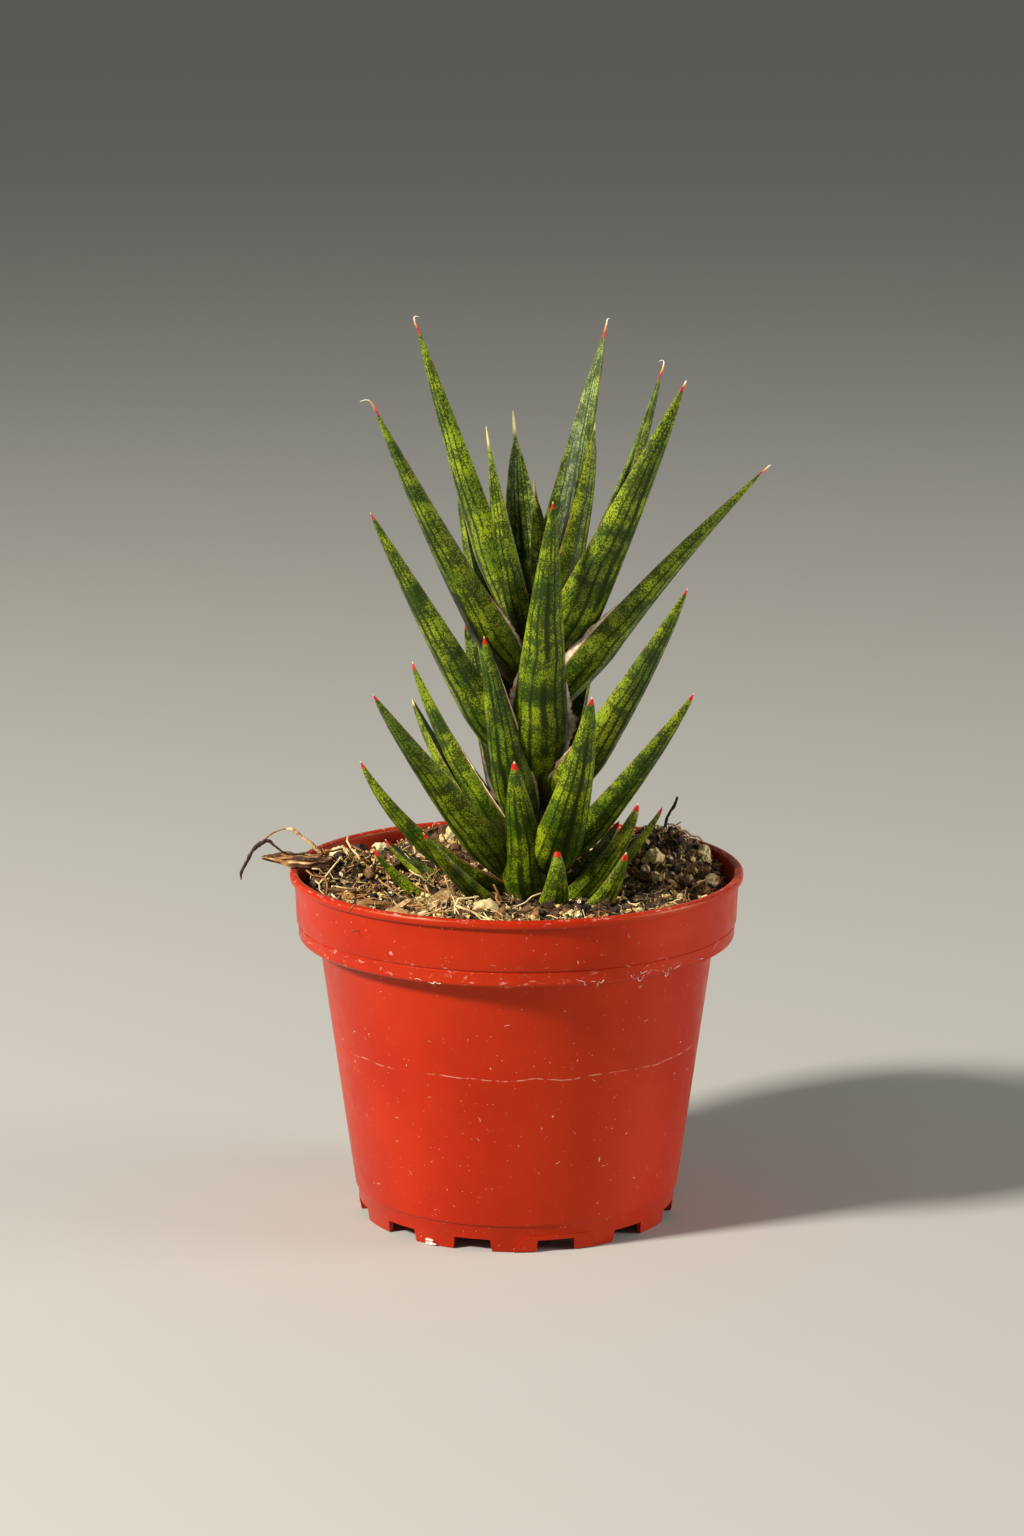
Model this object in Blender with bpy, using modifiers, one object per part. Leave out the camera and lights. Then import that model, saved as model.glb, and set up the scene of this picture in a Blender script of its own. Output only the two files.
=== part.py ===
"""Potted snake plant: a short upright stem of channelled, pointed leaves in a round nursery pot.

Metres, +Z up. The origin is on the pot's axis, on the flat pad under its floor that it stands on.
Azimuths are in degrees about the stem, 0 towards -Y and positive towards +X.
"""

import math

import bmesh
import bpy
from mathutils import Matrix, Vector, noise
from mathutils.bvhtree import BVHTree

MM = 0.001

# Pot: one injection-moulded shell with a bead at the lip, a deep collar and a notched foot.
LIP_RADIUS = 60.0 * MM
POT_HEIGHT = 93.0 * MM
WALL = 1.2 * MM
LIP_DEPTH = 2.2 * MM
LIP_OVERHANG = 1.0 * MM
COLLAR_TAPER = 1.4 * MM
COLLAR_DEPTH = 18.0 * MM
COLLAR_GROOVE_RISE = 4.2 * MM
GROOVE_STEP = 0.35 * MM
COLLAR_SHELF = 7.5 * MM
BODY_TOP_RADIUS = LIP_RADIUS - COLLAR_SHELF
BODY_TAPER = 9.3 * MM
LEDGE_RADIUS = BODY_TOP_RADIUS - BODY_TAPER
LEDGE_HEIGHT = 7.5 * MM
LEDGE_STEP = 0.5 * MM
FOOT_INSET = 1.4 * MM
FOOT_RADIUS = LEDGE_RADIUS - FOOT_INSET
FLOOR_HEIGHT = 3.7 * MM
PAD_INSET = 19.8 * MM
PAD_RADIUS = FOOT_RADIUS - PAD_INSET
PAD_SLOPE = 3.0 * MM
NOTCH_COUNT = 12
NOTCH_AZIMUTH = 14.0
NOTCH_WIDTH = 10.6 * MM
NOTCH_TAPER = 1.2 * MM
DRAIN_WIDTH = 6.0 * MM
DRAIN_FROM_PAD = 7.0 * MM
DRAIN_INNER_RADIUS = PAD_RADIUS + DRAIN_FROM_PAD
POT_STEPS = 44

# Clearances: what seats on or in another piece keeps this gap to it.
SEAT_GAP = 0.3 * MM

# Soil: fills the pot to just under the lip, heaped up at the sides and hollowed where pieces are
# seated. Places on it are in millimetres from the pot's axis for a 60 mm lip, and spread with the lip.
LIP_OF_PLACES = 60.0
PLACE = LIP_RADIUS / LIP_OF_PLACES
SOIL_BELOW_LIP = 5.0 * MM
SOIL_LEVEL = POT_HEIGHT - SOIL_BELOW_LIP
SOIL_EDGE_DROP = 3.0 * MM
SOIL_STEPS = 34
SOIL_RINGS = 8
SOIL_ROUGHNESS = 1.2 * MM
SOIL_GRAIN = 7.0 * MM
HEAPS = [
    # x, y, spread, height
    (39, 20, 15, 11.0),
    (-40, 16, 13, 4.0),
    (-50, 3, 9, 5.5),
    (-18, 40, 13, 6.0),
    (-14, -42, 11, 3.5),
    (6, 46, 14, 4.0),
]

# Loose lumps pressed into the soil's surface.
LUMP_ROUGHNESS = 0.22
LUMP_GRAIN = 1.7
LUMPS = [
    # name, x, y, radius
    ("perlite_01", -47, 19, 3.4),
    ("perlite_02", -37, 33, 2.6),
    ("perlite_03", -17, 38, 3.0),
    ("perlite_04", -8, -36, 3.2),
    ("perlite_05", 37, 8, 2.8),
    ("perlite_06", 50, 14, 2.0),
    ("perlite_07", 52, 0, 2.0),
    ("perlite_08", 45, -28, 2.0),
    ("perlite_09", 37, -35, 2.1),
    ("soil_clump", -18, -27, 4.4),
]

# Bark: flat splinters of the mix, and one chip that lies out over the lip.
BARK_THICKNESS = 1.6 * MM
BARK_TILT = 8.0
BARK_EDGE = 0.35
BARK_NARROWING = 0.25
BARKS = [
    # name, x, y, direction, length, width
    ("bark_01", -34, -22, 20, 15, 4.0),
    ("bark_02", -27, -37, -25, 13, 3.5),
    ("bark_03", -42, -12, 70, 12, 3.0),
]
CHIP_LENGTH = 17.0 * MM
CHIP_WIDTH = 5.5 * MM
CHIP_THICKNESS = 2.4 * MM
CHIP_OVERHANG = 6.5 * MM

# Loose roots and a twig, round in section.
ROOT_RADIUS = 0.55 * MM
FINE_ROOT_RADIUS = 0.4 * MM
TWIG_RADIUS = 0.45 * MM

# Stem: carries every leaf, and runs down into the soil to the roots.
STEM_X = 4.5 * MM
STEM_Y = -2.0 * MM
STEM_ROOTED = 26.0 * MM
STEM_STANDING = 78.0 * MM
STEM_FOOT = SOIL_LEVEL - STEM_ROOTED
STEM_TOP = SOIL_LEVEL + STEM_STANDING
STEM_FOOT_RADIUS = 5.5 * MM
STEM_TOP_RADIUS = 3.0 * MM
STEM_STEPS = 16
STEM_RINGS = 8
CROWN_DIP = 4.0 * MM
CROWN_SPREAD = 12.0 * MM

# Leaves: thick, channelled on the inner face, widest at a quarter of their length.
LEAF_THICKNESS = 0.46
LEAF_CHANNEL = 0.16
LEAF_NECK = 0.66
LEAF_BELLY = 0.24
LEAF_TAPER_SHORT = 0.6
LEAF_TAPER_LONG = 0.73
SHORT_LEAF = 40.0 * MM
LONG_LEAF = 80.0 * MM
LEAF_TIP_WIDTH = 0.9 * MM
LEAF_ROUNDNESS = 0.8
LEAF_STEPS = 24
LEAF_SECTION_ANGLES = (0, 30, 60, 90, 120, 150, 180)
LEAF_RINGS = (0.0, 0.07, 0.18, 0.36, 0.56, 0.76, 0.92, 1.0)
LEAVES = [
    # name, azimuth, base above the soil's level, lean at the base and at the tip, length, width
    ("leaf_01", 16, -8.0, 15, 95, 31, 10),
    ("leaf_02", 46, -11.0, 20, 66, 39, 11),
    ("leaf_03", -42, -7.0, 27, 49, 47.5, 9),
    ("leaf_04", -80, -12.0, 18, 48, 45, 12),
    ("leaf_05", -110, -9.0, 17, 37, 41.5, 11),
    ("leaf_06", -12, -2.5, 58, 72, 46, 12.5),
    ("leaf_07", 56, -3.5, 30, 66, 41.5, 11),
    ("leaf_08", 84, -6.0, 34, 56, 41, 9),
    ("leaf_09", -68, 1.0, 22, 59, 58, 12),
    ("leaf_10", 118, -5.0, 37, 52, 29, 9),
    ("leaf_11", -48, 5.5, 44, 50, 73.5, 15),
    ("leaf_12", 22, 5.0, 42, 73, 64, 14),
    ("leaf_13", 60, 9.0, 45, 52, 64, 14),
    ("leaf_14", -28, 18.5, 61, 73, 58, 11.5),
    ("leaf_15", -88, 16.0, 54, 64, 52.5, 13.5),
    ("leaf_16", -98, 8.5, 51.2, 62.2, 49.8, 12),
    ("leaf_17", 50, 24.5, 49, 57, 76.5, 14),
    ("leaf_18", 8, 28.5, 64, 76, 84.5, 15),
    ("leaf_19", -54, 35.0, 54, 58, 84, 14),
    ("leaf_20", 62, 51.0, 52.4, 40.4, 89.3, 15),
    ("leaf_21", -115, 44.5, 74, 74, 65, 13),
    ("leaf_22", -44, 57.5, 51, 58, 92, 12.8),
    ("leaf_23", 40, 60.5, 52, 59, 95, 15),
    ("leaf_24", 118, 52.5, 62, 64, 55, 13),
    ("leaf_25", -70, 73.0, 69.7, 69.7, 81.8, 13),
    ("leaf_26", 98, 66.5, 61, 73, 76, 12),
    ("leaf_27", 144, 76.0, 65, 70, 74.5, 11),
    ("leaf_28", 84, 78.5, 70, 79, 47, 13.5),
    ("leaf_29", -45, 68.5, 73, 79, 57.5, 9),
    ("leaf_30", -165, 79.0, 66, 71, 48.5, 12),
    ("leaf_31", 45, 76.0, 94, 98, 33, 8.5),
    ("leaf_32", 170, 9.0, 46, 60, 58, 13),
    ("leaf_33", -150, 17.0, 52, 62, 58, 13),
    ("leaf_34", 150, 30.0, 52, 66, 60, 13),
    ("leaf_35", -170, 38.0, 54, 64, 54, 13),
    ("leaf_36", 176, 50.0, 58, 72, 50, 12),
]


def stem_radius(height):
    """Radius of the stem at a height: it tapers evenly from its foot to its top."""
    share = (height - STEM_FOOT) / (STEM_TOP - STEM_FOOT)
    return STEM_FOOT_RADIUS + (STEM_TOP_RADIUS - STEM_FOOT_RADIUS) * min(max(share, 0), 1)


def clear_scene():
    for obj in list(bpy.data.objects):
        bpy.data.objects.remove(obj)


def make_collection(name):
    collection = bpy.data.collections.new(name)
    bpy.context.scene.collection.children.link(collection)
    return collection


def make_material(name, color, roughness, metallic=0.0):
    material = bpy.data.materials.new(name)
    material.use_nodes = True
    shader = material.node_tree.nodes["Principled BSDF"]
    shader.inputs["Base Color"].default_value = (*color, 1.0)
    shader.inputs["Roughness"].default_value = roughness
    shader.inputs["Metallic"].default_value = metallic
    return material


def make_object(name, mesh, collection, material=None):
    obj = bpy.data.objects.new(name, mesh)
    collection.objects.link(obj)
    if material:
        mesh.materials.append(material)
    return obj


def closed_mesh(name, built):
    """Ends a bmesh as a mesh of triangles that all face outwards."""
    bmesh.ops.triangulate(built, faces=built.faces)
    bmesh.ops.recalc_face_normals(built, faces=built.faces)
    mesh = bpy.data.meshes.new(name)
    built.to_mesh(mesh)
    built.free()
    return mesh


def make_cutter(name, mesh, collection):
    """A helper that only cuts: drawn as wire and left out of the render."""
    cutter = make_object(name, mesh, collection)
    cutter.hide_render = True
    cutter.display_type = "WIRE"
    return cutter


def cut(obj, cutter):
    modifier = obj.modifiers.new("cut_" + cutter.name, "BOOLEAN")
    modifier.operation = "DIFFERENCE"
    modifier.solver = "EXACT"
    modifier.object = cutter


def keep_largest_piece(mesh):
    """Drops the crumbs that cutting leaves, so that the mesh is one piece."""
    built = bmesh.new()
    built.from_mesh(mesh)
    bmesh.ops.remove_doubles(built, verts=built.verts, dist=0.001 * MM)
    waiting = set(built.verts)
    pieces = []
    while waiting:
        piece = {waiting.pop()}
        edge_of_piece = list(piece)
        while edge_of_piece:
            vert = edge_of_piece.pop()
            for edge in vert.link_edges:
                other = edge.other_vert(vert)
                if other in waiting:
                    waiting.remove(other)
                    piece.add(other)
                    edge_of_piece.append(other)
        pieces.append(piece)
    pieces.sort(key=lambda piece: sum(f.calc_area() for v in piece for f in v.link_faces))
    for piece in pieces[:-1]:
        bmesh.ops.delete(built, geom=list(piece), context="VERTS")
    built.to_mesh(mesh)
    built.free()


def carve(obj, meshes, cutters):
    """Cuts each mesh out of the object for good, and keeps the largest piece."""
    made = []
    for mesh in meshes:
        cutter = make_cutter("socket_of_" + mesh.name, mesh, cutters)
        cut(obj, cutter)
        made.append(cutter)
    graph = bpy.context.evaluated_depsgraph_get()
    carved = bpy.data.meshes.new_from_object(obj.evaluated_get(graph))
    obj.modifiers.clear()
    for cutter in made:
        bpy.data.objects.remove(cutter)
    keep_largest_piece(carved)
    obj.data = carved


def tree_of(mesh):
    return BVHTree.FromPolygons(
        [vert.co for vert in mesh.vertices], [list(face.vertices) for face in mesh.polygons]
    )


def meets(mesh, other):
    return bool(tree_of(mesh).overlap(tree_of(other)))


def hollow(obj, neighbours, cutters):
    """Hollows a piece wherever one of its neighbours is seated in it or pressed against it."""
    seated = [mesh for mesh in neighbours if meets(obj.data, mesh)]
    if seated:
        carve(obj, seated, cutters)


def turned_mesh(name, profile, steps):
    """Mesh of a profile of (radius, height) points turned about the Z axis by a Screw modifier."""
    mesh = bpy.data.meshes.new(name)
    edges = [(i, i + 1) for i in range(len(profile) - 1)]
    mesh.from_pydata([(radius, 0, height) for radius, height in profile], edges, [])
    obj = bpy.data.objects.new(name, mesh)
    bpy.context.scene.collection.objects.link(obj)
    screw = obj.modifiers.new("turn", "SCREW")
    screw.steps = screw.render_steps = steps
    screw.use_merge_vertices = True
    screw.merge_threshold = 0.01 * MM
    graph = bpy.context.evaluated_depsgraph_get()
    turned = bpy.data.meshes.new_from_object(obj.evaluated_get(graph))
    bpy.data.objects.remove(obj)
    return turned


def collar_bottom():
    return POT_HEIGHT - COLLAR_DEPTH


def collar_radius(height):
    """Outer radius of the collar, which narrows a little from the lip downwards."""
    share = (POT_HEIGHT - height) / COLLAR_DEPTH
    return LIP_RADIUS - LIP_OVERHANG - COLLAR_TAPER * share


def body_radius(height):
    """Outer radius of the tapered body between the ledge and the collar."""
    share = (height - LEDGE_HEIGHT) / (collar_bottom() - LEDGE_HEIGHT)
    return LEDGE_RADIUS + (BODY_TOP_RADIUS - LEDGE_RADIUS) * share


def inner_wall():
    """(radius, height) points up the inside of the pot, from the floor's edge to the lip."""
    floor_top = FLOOR_HEIGHT + WALL
    shoulder = collar_bottom() + WALL
    return [
        (FOOT_RADIUS - WALL, floor_top),
        (LEDGE_RADIUS - WALL, LEDGE_HEIGHT + WALL),
        (body_radius(collar_bottom()) - WALL, shoulder),
        (collar_radius(collar_bottom()) - 2 * WALL, shoulder + WALL),
        (collar_radius(collar_bottom()) - WALL, shoulder + 2 * WALL),
        (collar_radius(POT_HEIGHT) - WALL, POT_HEIGHT - WALL / 2),
    ]


def pot_profile():
    """The pot's section, from the inside of the floor's middle, over the lip, to the pad beneath."""
    groove = collar_bottom() + COLLAR_GROOVE_RISE
    lip_low = POT_HEIGHT - LIP_DEPTH
    lip_in = collar_radius(POT_HEIGHT) - WALL
    inside = [(0, WALL), (PAD_RADIUS, WALL), (PAD_RADIUS + PAD_SLOPE, FLOOR_HEIGHT + WALL)]
    lip = [
        (lip_in + WALL / 2, POT_HEIGHT),
        (LIP_RADIUS - WALL / 2, POT_HEIGHT),
        (LIP_RADIUS, POT_HEIGHT - LIP_DEPTH / 3),
        (LIP_RADIUS, lip_low + LIP_DEPTH / 4),
        (collar_radius(lip_low), lip_low),
    ]
    outside = [
        (collar_radius(groove) + GROOVE_STEP, groove + GROOVE_STEP),
        (collar_radius(groove), groove),
        (collar_radius(collar_bottom()), collar_bottom() + WALL),
        (collar_radius(collar_bottom()) - WALL, collar_bottom()),
        (body_radius(collar_bottom()), collar_bottom()),
        (LEDGE_RADIUS, LEDGE_HEIGHT),
        (LEDGE_RADIUS - LEDGE_STEP, LEDGE_HEIGHT - LEDGE_STEP / 2),
        (FOOT_RADIUS, 0),
    ]
    beneath = [
        (FOOT_RADIUS - WALL, 0),
        (FOOT_RADIUS - WALL, FLOOR_HEIGHT),
        (PAD_RADIUS + PAD_SLOPE + WALL / 2, FLOOR_HEIGHT),
        (PAD_RADIUS + WALL / 2, 0),
        (0, 0),
    ]
    return inside + inner_wall() + lip + outside + beneath


def make_pot(collection, cutters):
    material = make_material("terracotta_red_plastic", (0.62, 0.075, 0.03), 0.45)
    pot = make_object("pot", turned_mesh("pot", pot_profile(), POT_STEPS), collection, material)
    notches = bmesh.new()
    drains = bmesh.new()
    for index in range(NOTCH_COUNT):
        azimuth = math.radians(NOTCH_AZIMUTH + 360 * index / NOTCH_COUNT)
        turn = Matrix.Rotation(azimuth, 4, "Z")
        made = bmesh.ops.create_cube(notches, size=1.0)["verts"]
        for vert in made:
            side, out, up = vert.co
            width = NOTCH_WIDTH - NOTCH_TAPER * (up + 0.5)
            vert.co = turn @ Vector(
                (
                    side * width,
                    -FOOT_RADIUS - out * 4 * WALL,
                    -WALL if up < 0 else FLOOR_HEIGHT - SEAT_GAP,
                )
            )
        made = bmesh.ops.create_cube(drains, size=1.0)["verts"]
        slot_length = FOOT_RADIUS - 2 * WALL - DRAIN_INNER_RADIUS
        for vert in made:
            side, out, up = vert.co
            reach = DRAIN_INNER_RADIUS + slot_length * (out + 0.5)
            vert.co = turn @ Vector(
                (side * DRAIN_WIDTH, -reach, FLOOR_HEIGHT + WALL / 2 + up * 2 * WALL)
            )
    for name, built in (("notch_cutter", notches), ("drain_cutter", drains)):
        bmesh.ops.recalc_face_normals(built, faces=built.faces)
        mesh = bpy.data.meshes.new(name)
        built.to_mesh(mesh)
        built.free()
        cut(pot, make_cutter(name, mesh, cutters))
    pot.data.shade_smooth()
    pot.data.set_sharp_from_angle(angle=math.radians(30))
    return pot


def soil_height(x, y):
    """Height of the soil's surface: its level, the heaps, the dip at the crown and a rough grain."""
    height = SOIL_LEVEL
    for heap_x, heap_y, spread, rise in HEAPS:
        away = math.hypot(x / PLACE - heap_x, y / PLACE - heap_y) / spread
        height += rise * MM * math.exp(-away * away)
    away = math.hypot(x - STEM_X, y - STEM_Y) / CROWN_SPREAD
    height -= CROWN_DIP * math.exp(-away * away)
    return height + SOIL_ROUGHNESS * noise.noise(Vector((x, y, 0)) / SOIL_GRAIN)


def soil_profile():
    """The soil's section: flat top, then down the inside of the pot to the middle of its floor."""
    shell = [(radius - SEAT_GAP, height + SEAT_GAP) for radius, height in inner_wall()[:-1]]
    edge_height = SOIL_LEVEL - SOIL_EDGE_DROP
    edge_radius = collar_radius(edge_height) - WALL - 2 * SEAT_GAP
    surface = [(edge_radius * ring / SOIL_RINGS, SOIL_LEVEL) for ring in range(SOIL_RINGS)]
    floor = [
        (PAD_RADIUS + PAD_SLOPE, FLOOR_HEIGHT + WALL + SEAT_GAP),
        (PAD_RADIUS - SEAT_GAP, WALL + SEAT_GAP),
        (0, WALL + SEAT_GAP),
    ]
    return surface + [(edge_radius, edge_height)] + list(reversed(shell)) + floor


def make_soil(collection, cutters, sockets):
    material = make_material("potting_mix", (0.09, 0.05, 0.03), 0.95)
    built = bmesh.new()
    built.from_mesh(turned_mesh("soil_turned", soil_profile(), SOIL_STEPS))
    for vert in built.verts:
        if vert.co.z > SOIL_LEVEL - SOIL_EDGE_DROP / 2:
            vert.co.z = soil_height(vert.co.x, vert.co.y)
    soil = make_object("soil", closed_mesh("soil", built), collection, material)
    hollow(soil, sockets, cutters)
    return soil


def stem_mesh(name, swell=0.0):
    """The stem turned about its own axis. A swell makes the same shape that much bigger all round."""
    profile = [(0, STEM_TOP + swell)]
    for ring in range(STEM_RINGS):
        share = ring / (STEM_RINGS - 1)
        height = STEM_TOP + (STEM_FOOT - STEM_TOP) * share
        profile.append((stem_radius(height) + swell, height + swell * (1 - 2 * share)))
    profile.append((0, STEM_FOOT - swell))
    mesh = turned_mesh(name, profile, STEM_STEPS)
    mesh.transform(Matrix.Translation((STEM_X, STEM_Y, 0)))
    return mesh


def make_stem(collection):
    material = make_material("stem_brown_green", (0.16, 0.14, 0.05), 0.7)
    stem = make_object("stem", stem_mesh("stem"), collection, material)
    stem.data.shade_smooth()
    return stem


def leaf_width(share, length):
    """Width along a leaf as a share of its widest: neck, belly, then a taper fuller on a short leaf."""
    neck = LEAF_NECK + (1 - LEAF_NECK) * math.sin(min(share / LEAF_BELLY, 1) * math.pi / 2)
    taper = 1 - max(share - LEAF_BELLY, 0) / (1 - LEAF_BELLY)
    slimness = min(max((length - SHORT_LEAF) / (LONG_LEAF - SHORT_LEAF), 0), 1)
    return neck * taper ** (LEAF_TAPER_SHORT + (LEAF_TAPER_LONG - LEAF_TAPER_SHORT) * slimness)


def leaf_section(width, channel, swell):
    """Closed section of a leaf: rounded outer face, two margins, and a channel in the inner face."""
    half = width / 2 + swell
    depth = width * LEAF_THICKNESS + swell
    section = []
    for angle in LEAF_SECTION_ANGLES:
        turn = math.radians(angle)
        rise = swell - (depth + swell) * math.sin(turn) ** LEAF_ROUNDNESS
        section.append((half * math.cos(turn), rise))
    section.append((0, swell - channel))
    return section


def leaf_mesh(name, azimuth, base, lean, tip_lean, length, width, swell=0.0):
    """Loft of leaf sections along a midrib that leans by one angle at its base, another at its tip."""
    built = bmesh.new()
    around = Matrix.Rotation(math.radians(azimuth), 3, "Z")
    line = [Vector((0, -stem_radius(base) - SEAT_GAP, base))]
    for step in range(LEAF_STEPS):
        angle = math.radians(lean + (tip_lean - lean) * (step + 0.5) / LEAF_STEPS)
        line.append(line[-1] + Vector((0, -math.cos(angle), math.sin(angle))) * length / LEAF_STEPS)
    rings = []
    for share in LEAF_RINGS:
        index = min(int(share * LEAF_STEPS), LEAF_STEPS - 1)
        centre = line[index].lerp(line[index + 1], share * LEAF_STEPS - index)
        angle = math.radians(lean + (tip_lean - lean) * share)
        along = Vector((0, -math.cos(angle), math.sin(angle)))
        inward = Vector((0, math.sin(angle), math.cos(angle)))
        if share == 0:
            centre -= along * swell
        if share == 1:
            centre += along * swell
        wide = max(width * leaf_width(share, length), LEAF_TIP_WIDTH)
        channel = wide * LEAF_CHANNEL * math.sin(share * math.pi) ** 0.5
        ring = []
        for across, rise in leaf_section(wide, channel, swell):
            local = centre + Vector((across, 0, 0)) + inward * rise
            ring.append(built.verts.new(around @ local + Vector((STEM_X, STEM_Y, 0))))
        rings.append(ring)
    count = len(rings[0])
    for low, high in zip(rings, rings[1:]):
        for side in range(count):
            after = (side + 1) % count
            built.faces.new((low[side], low[after], high[after], high[side]))
    built.faces.new(rings[0])
    built.faces.new(list(reversed(rings[-1])))
    return closed_mesh(name, built)


def row_of_leaf(row):
    name, azimuth, base, lean, tip_lean, length, width = row
    return azimuth, SOIL_LEVEL + base * MM, lean, tip_lean, length * MM, width * MM


def make_leaves(collection, cutters):
    """Every leaf on the stem, returned with the stem as sockets. A lower leaf wraps a younger one."""
    material = make_material("leaf_green", (0.10, 0.22, 0.02), 0.45)
    swollen = {row[0]: leaf_mesh(row[0], *row_of_leaf(row), SEAT_GAP) for row in LEAVES}
    stem_socket = stem_mesh("stem", SEAT_GAP)
    for row in LEAVES:
        leaf = make_object(row[0], leaf_mesh(row[0], *row_of_leaf(row)), collection, material)
        younger = [other[0] for other in LEAVES if (other[2], other[0]) > (row[2], row[0])]
        hollow(leaf, [stem_socket] + [swollen[other] for other in younger], cutters)
        leaf.data.shade_smooth()
        leaf.data.set_sharp_from_angle(angle=math.radians(50))
    return list(swollen.values()) + [stem_socket]


def lump_mesh(name, x, y, radius, swell=0.0):
    """A rough lump, sunk to its middle in the soil."""
    centre = Vector((x, y, soil_height(x, y)))
    built = bmesh.new()
    bmesh.ops.create_icosphere(built, subdivisions=2, radius=1.0)
    for vert in built.verts:
        rough = 1 + LUMP_ROUGHNESS * noise.noise(vert.co * LUMP_GRAIN + centre / radius)
        vert.co = centre + vert.co * (radius * rough + swell)
    return closed_mesh(name, built)


def make_lumps(collection, cutters, leaves):
    perlite = make_material("perlite_cream", (0.62, 0.53, 0.36), 0.9)
    sockets = []
    for name, x, y, radius in LUMPS:
        place = (x * PLACE, y * PLACE, radius * MM)
        lump = make_object(name, lump_mesh(name, *place), collection, perlite)
        hollow(lump, leaves, cutters)
        lump.data.shade_smooth()
        sockets.append(lump_mesh(name, *place, SEAT_GAP))
    return sockets


def slab_mesh(name, centre, turn, length, width, thickness, swell=0.0):
    """A flat splinter: a slab that narrows to one end and thins to its sides."""
    built = bmesh.new()
    bmesh.ops.create_cube(built, size=2.0)
    top = [edge for edge in built.edges if all(vert.co.z > 0 for vert in edge.verts)]
    bmesh.ops.bevel(built, geom=top, offset=BARK_EDGE, segments=1, affect="EDGES")
    for vert in built.verts:
        narrow = 1 - BARK_NARROWING * (vert.co.x + 1) / 2
        across = (width / 2 * narrow + swell) * vert.co.y
        along = (length / 2 + swell) * vert.co.x
        local = Vector((along, across, (thickness / 2 + swell) * vert.co.z))
        vert.co = centre + turn @ local
    return closed_mesh(name, built)


def make_barks(collection, cutters, leaves):
    bark = make_material("bark_brown", (0.20, 0.10, 0.05), 0.85)
    shapes = []
    for name, x, y, direction, length, width in BARKS:
        height = soil_height(x * PLACE, y * PLACE) + BARK_THICKNESS / 4
        centre = Vector((x * PLACE, y * PLACE, height))
        turn = Matrix.Rotation(math.radians(direction), 3, "Z")
        turn = turn @ Matrix.Rotation(math.radians(BARK_TILT), 3, "Y")
        shapes.append((name, centre, turn, length * MM, width * MM, BARK_THICKNESS))
    chip_end = -(LIP_RADIUS + CHIP_OVERHANG)
    chip_height = POT_HEIGHT + SEAT_GAP + CHIP_THICKNESS / 2
    centre = Vector((chip_end + CHIP_LENGTH / 2, 0, chip_height))
    turn = Matrix.Rotation(math.pi, 3, "Z")
    shapes.append(("bark_chip_rim", centre, turn, CHIP_LENGTH, CHIP_WIDTH, CHIP_THICKNESS))
    for shape in shapes:
        hollow(make_object(shape[0], slab_mesh(*shape), collection, bark), leaves, cutters)
    return [slab_mesh(*shape, SEAT_GAP) for shape in shapes]


def cord_mesh(name, points, radius):
    """A round cord through the points, closed at both ends."""
    curve = bpy.data.curves.new(name, "CURVE")
    curve.dimensions = "3D"
    curve.resolution_u = 3
    curve.bevel_depth = radius
    curve.bevel_resolution = 1
    curve.use_fill_caps = True
    spline = curve.splines.new("BEZIER")
    spline.bezier_points.add(len(points) - 1)
    for knot, place in zip(spline.bezier_points, points):
        knot.co = place
        knot.handle_left_type = knot.handle_right_type = "AUTO"
    obj = bpy.data.objects.new(name, curve)
    bpy.context.scene.collection.objects.link(obj)
    graph = bpy.context.evaluated_depsgraph_get()
    mesh = bpy.data.meshes.new_from_object(obj.evaluated_get(graph))
    bpy.data.objects.remove(obj)
    built = bmesh.new()
    built.from_mesh(mesh)
    bmesh.ops.remove_doubles(built, verts=built.verts, dist=0.001 * MM)
    return closed_mesh(name, built)


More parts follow.
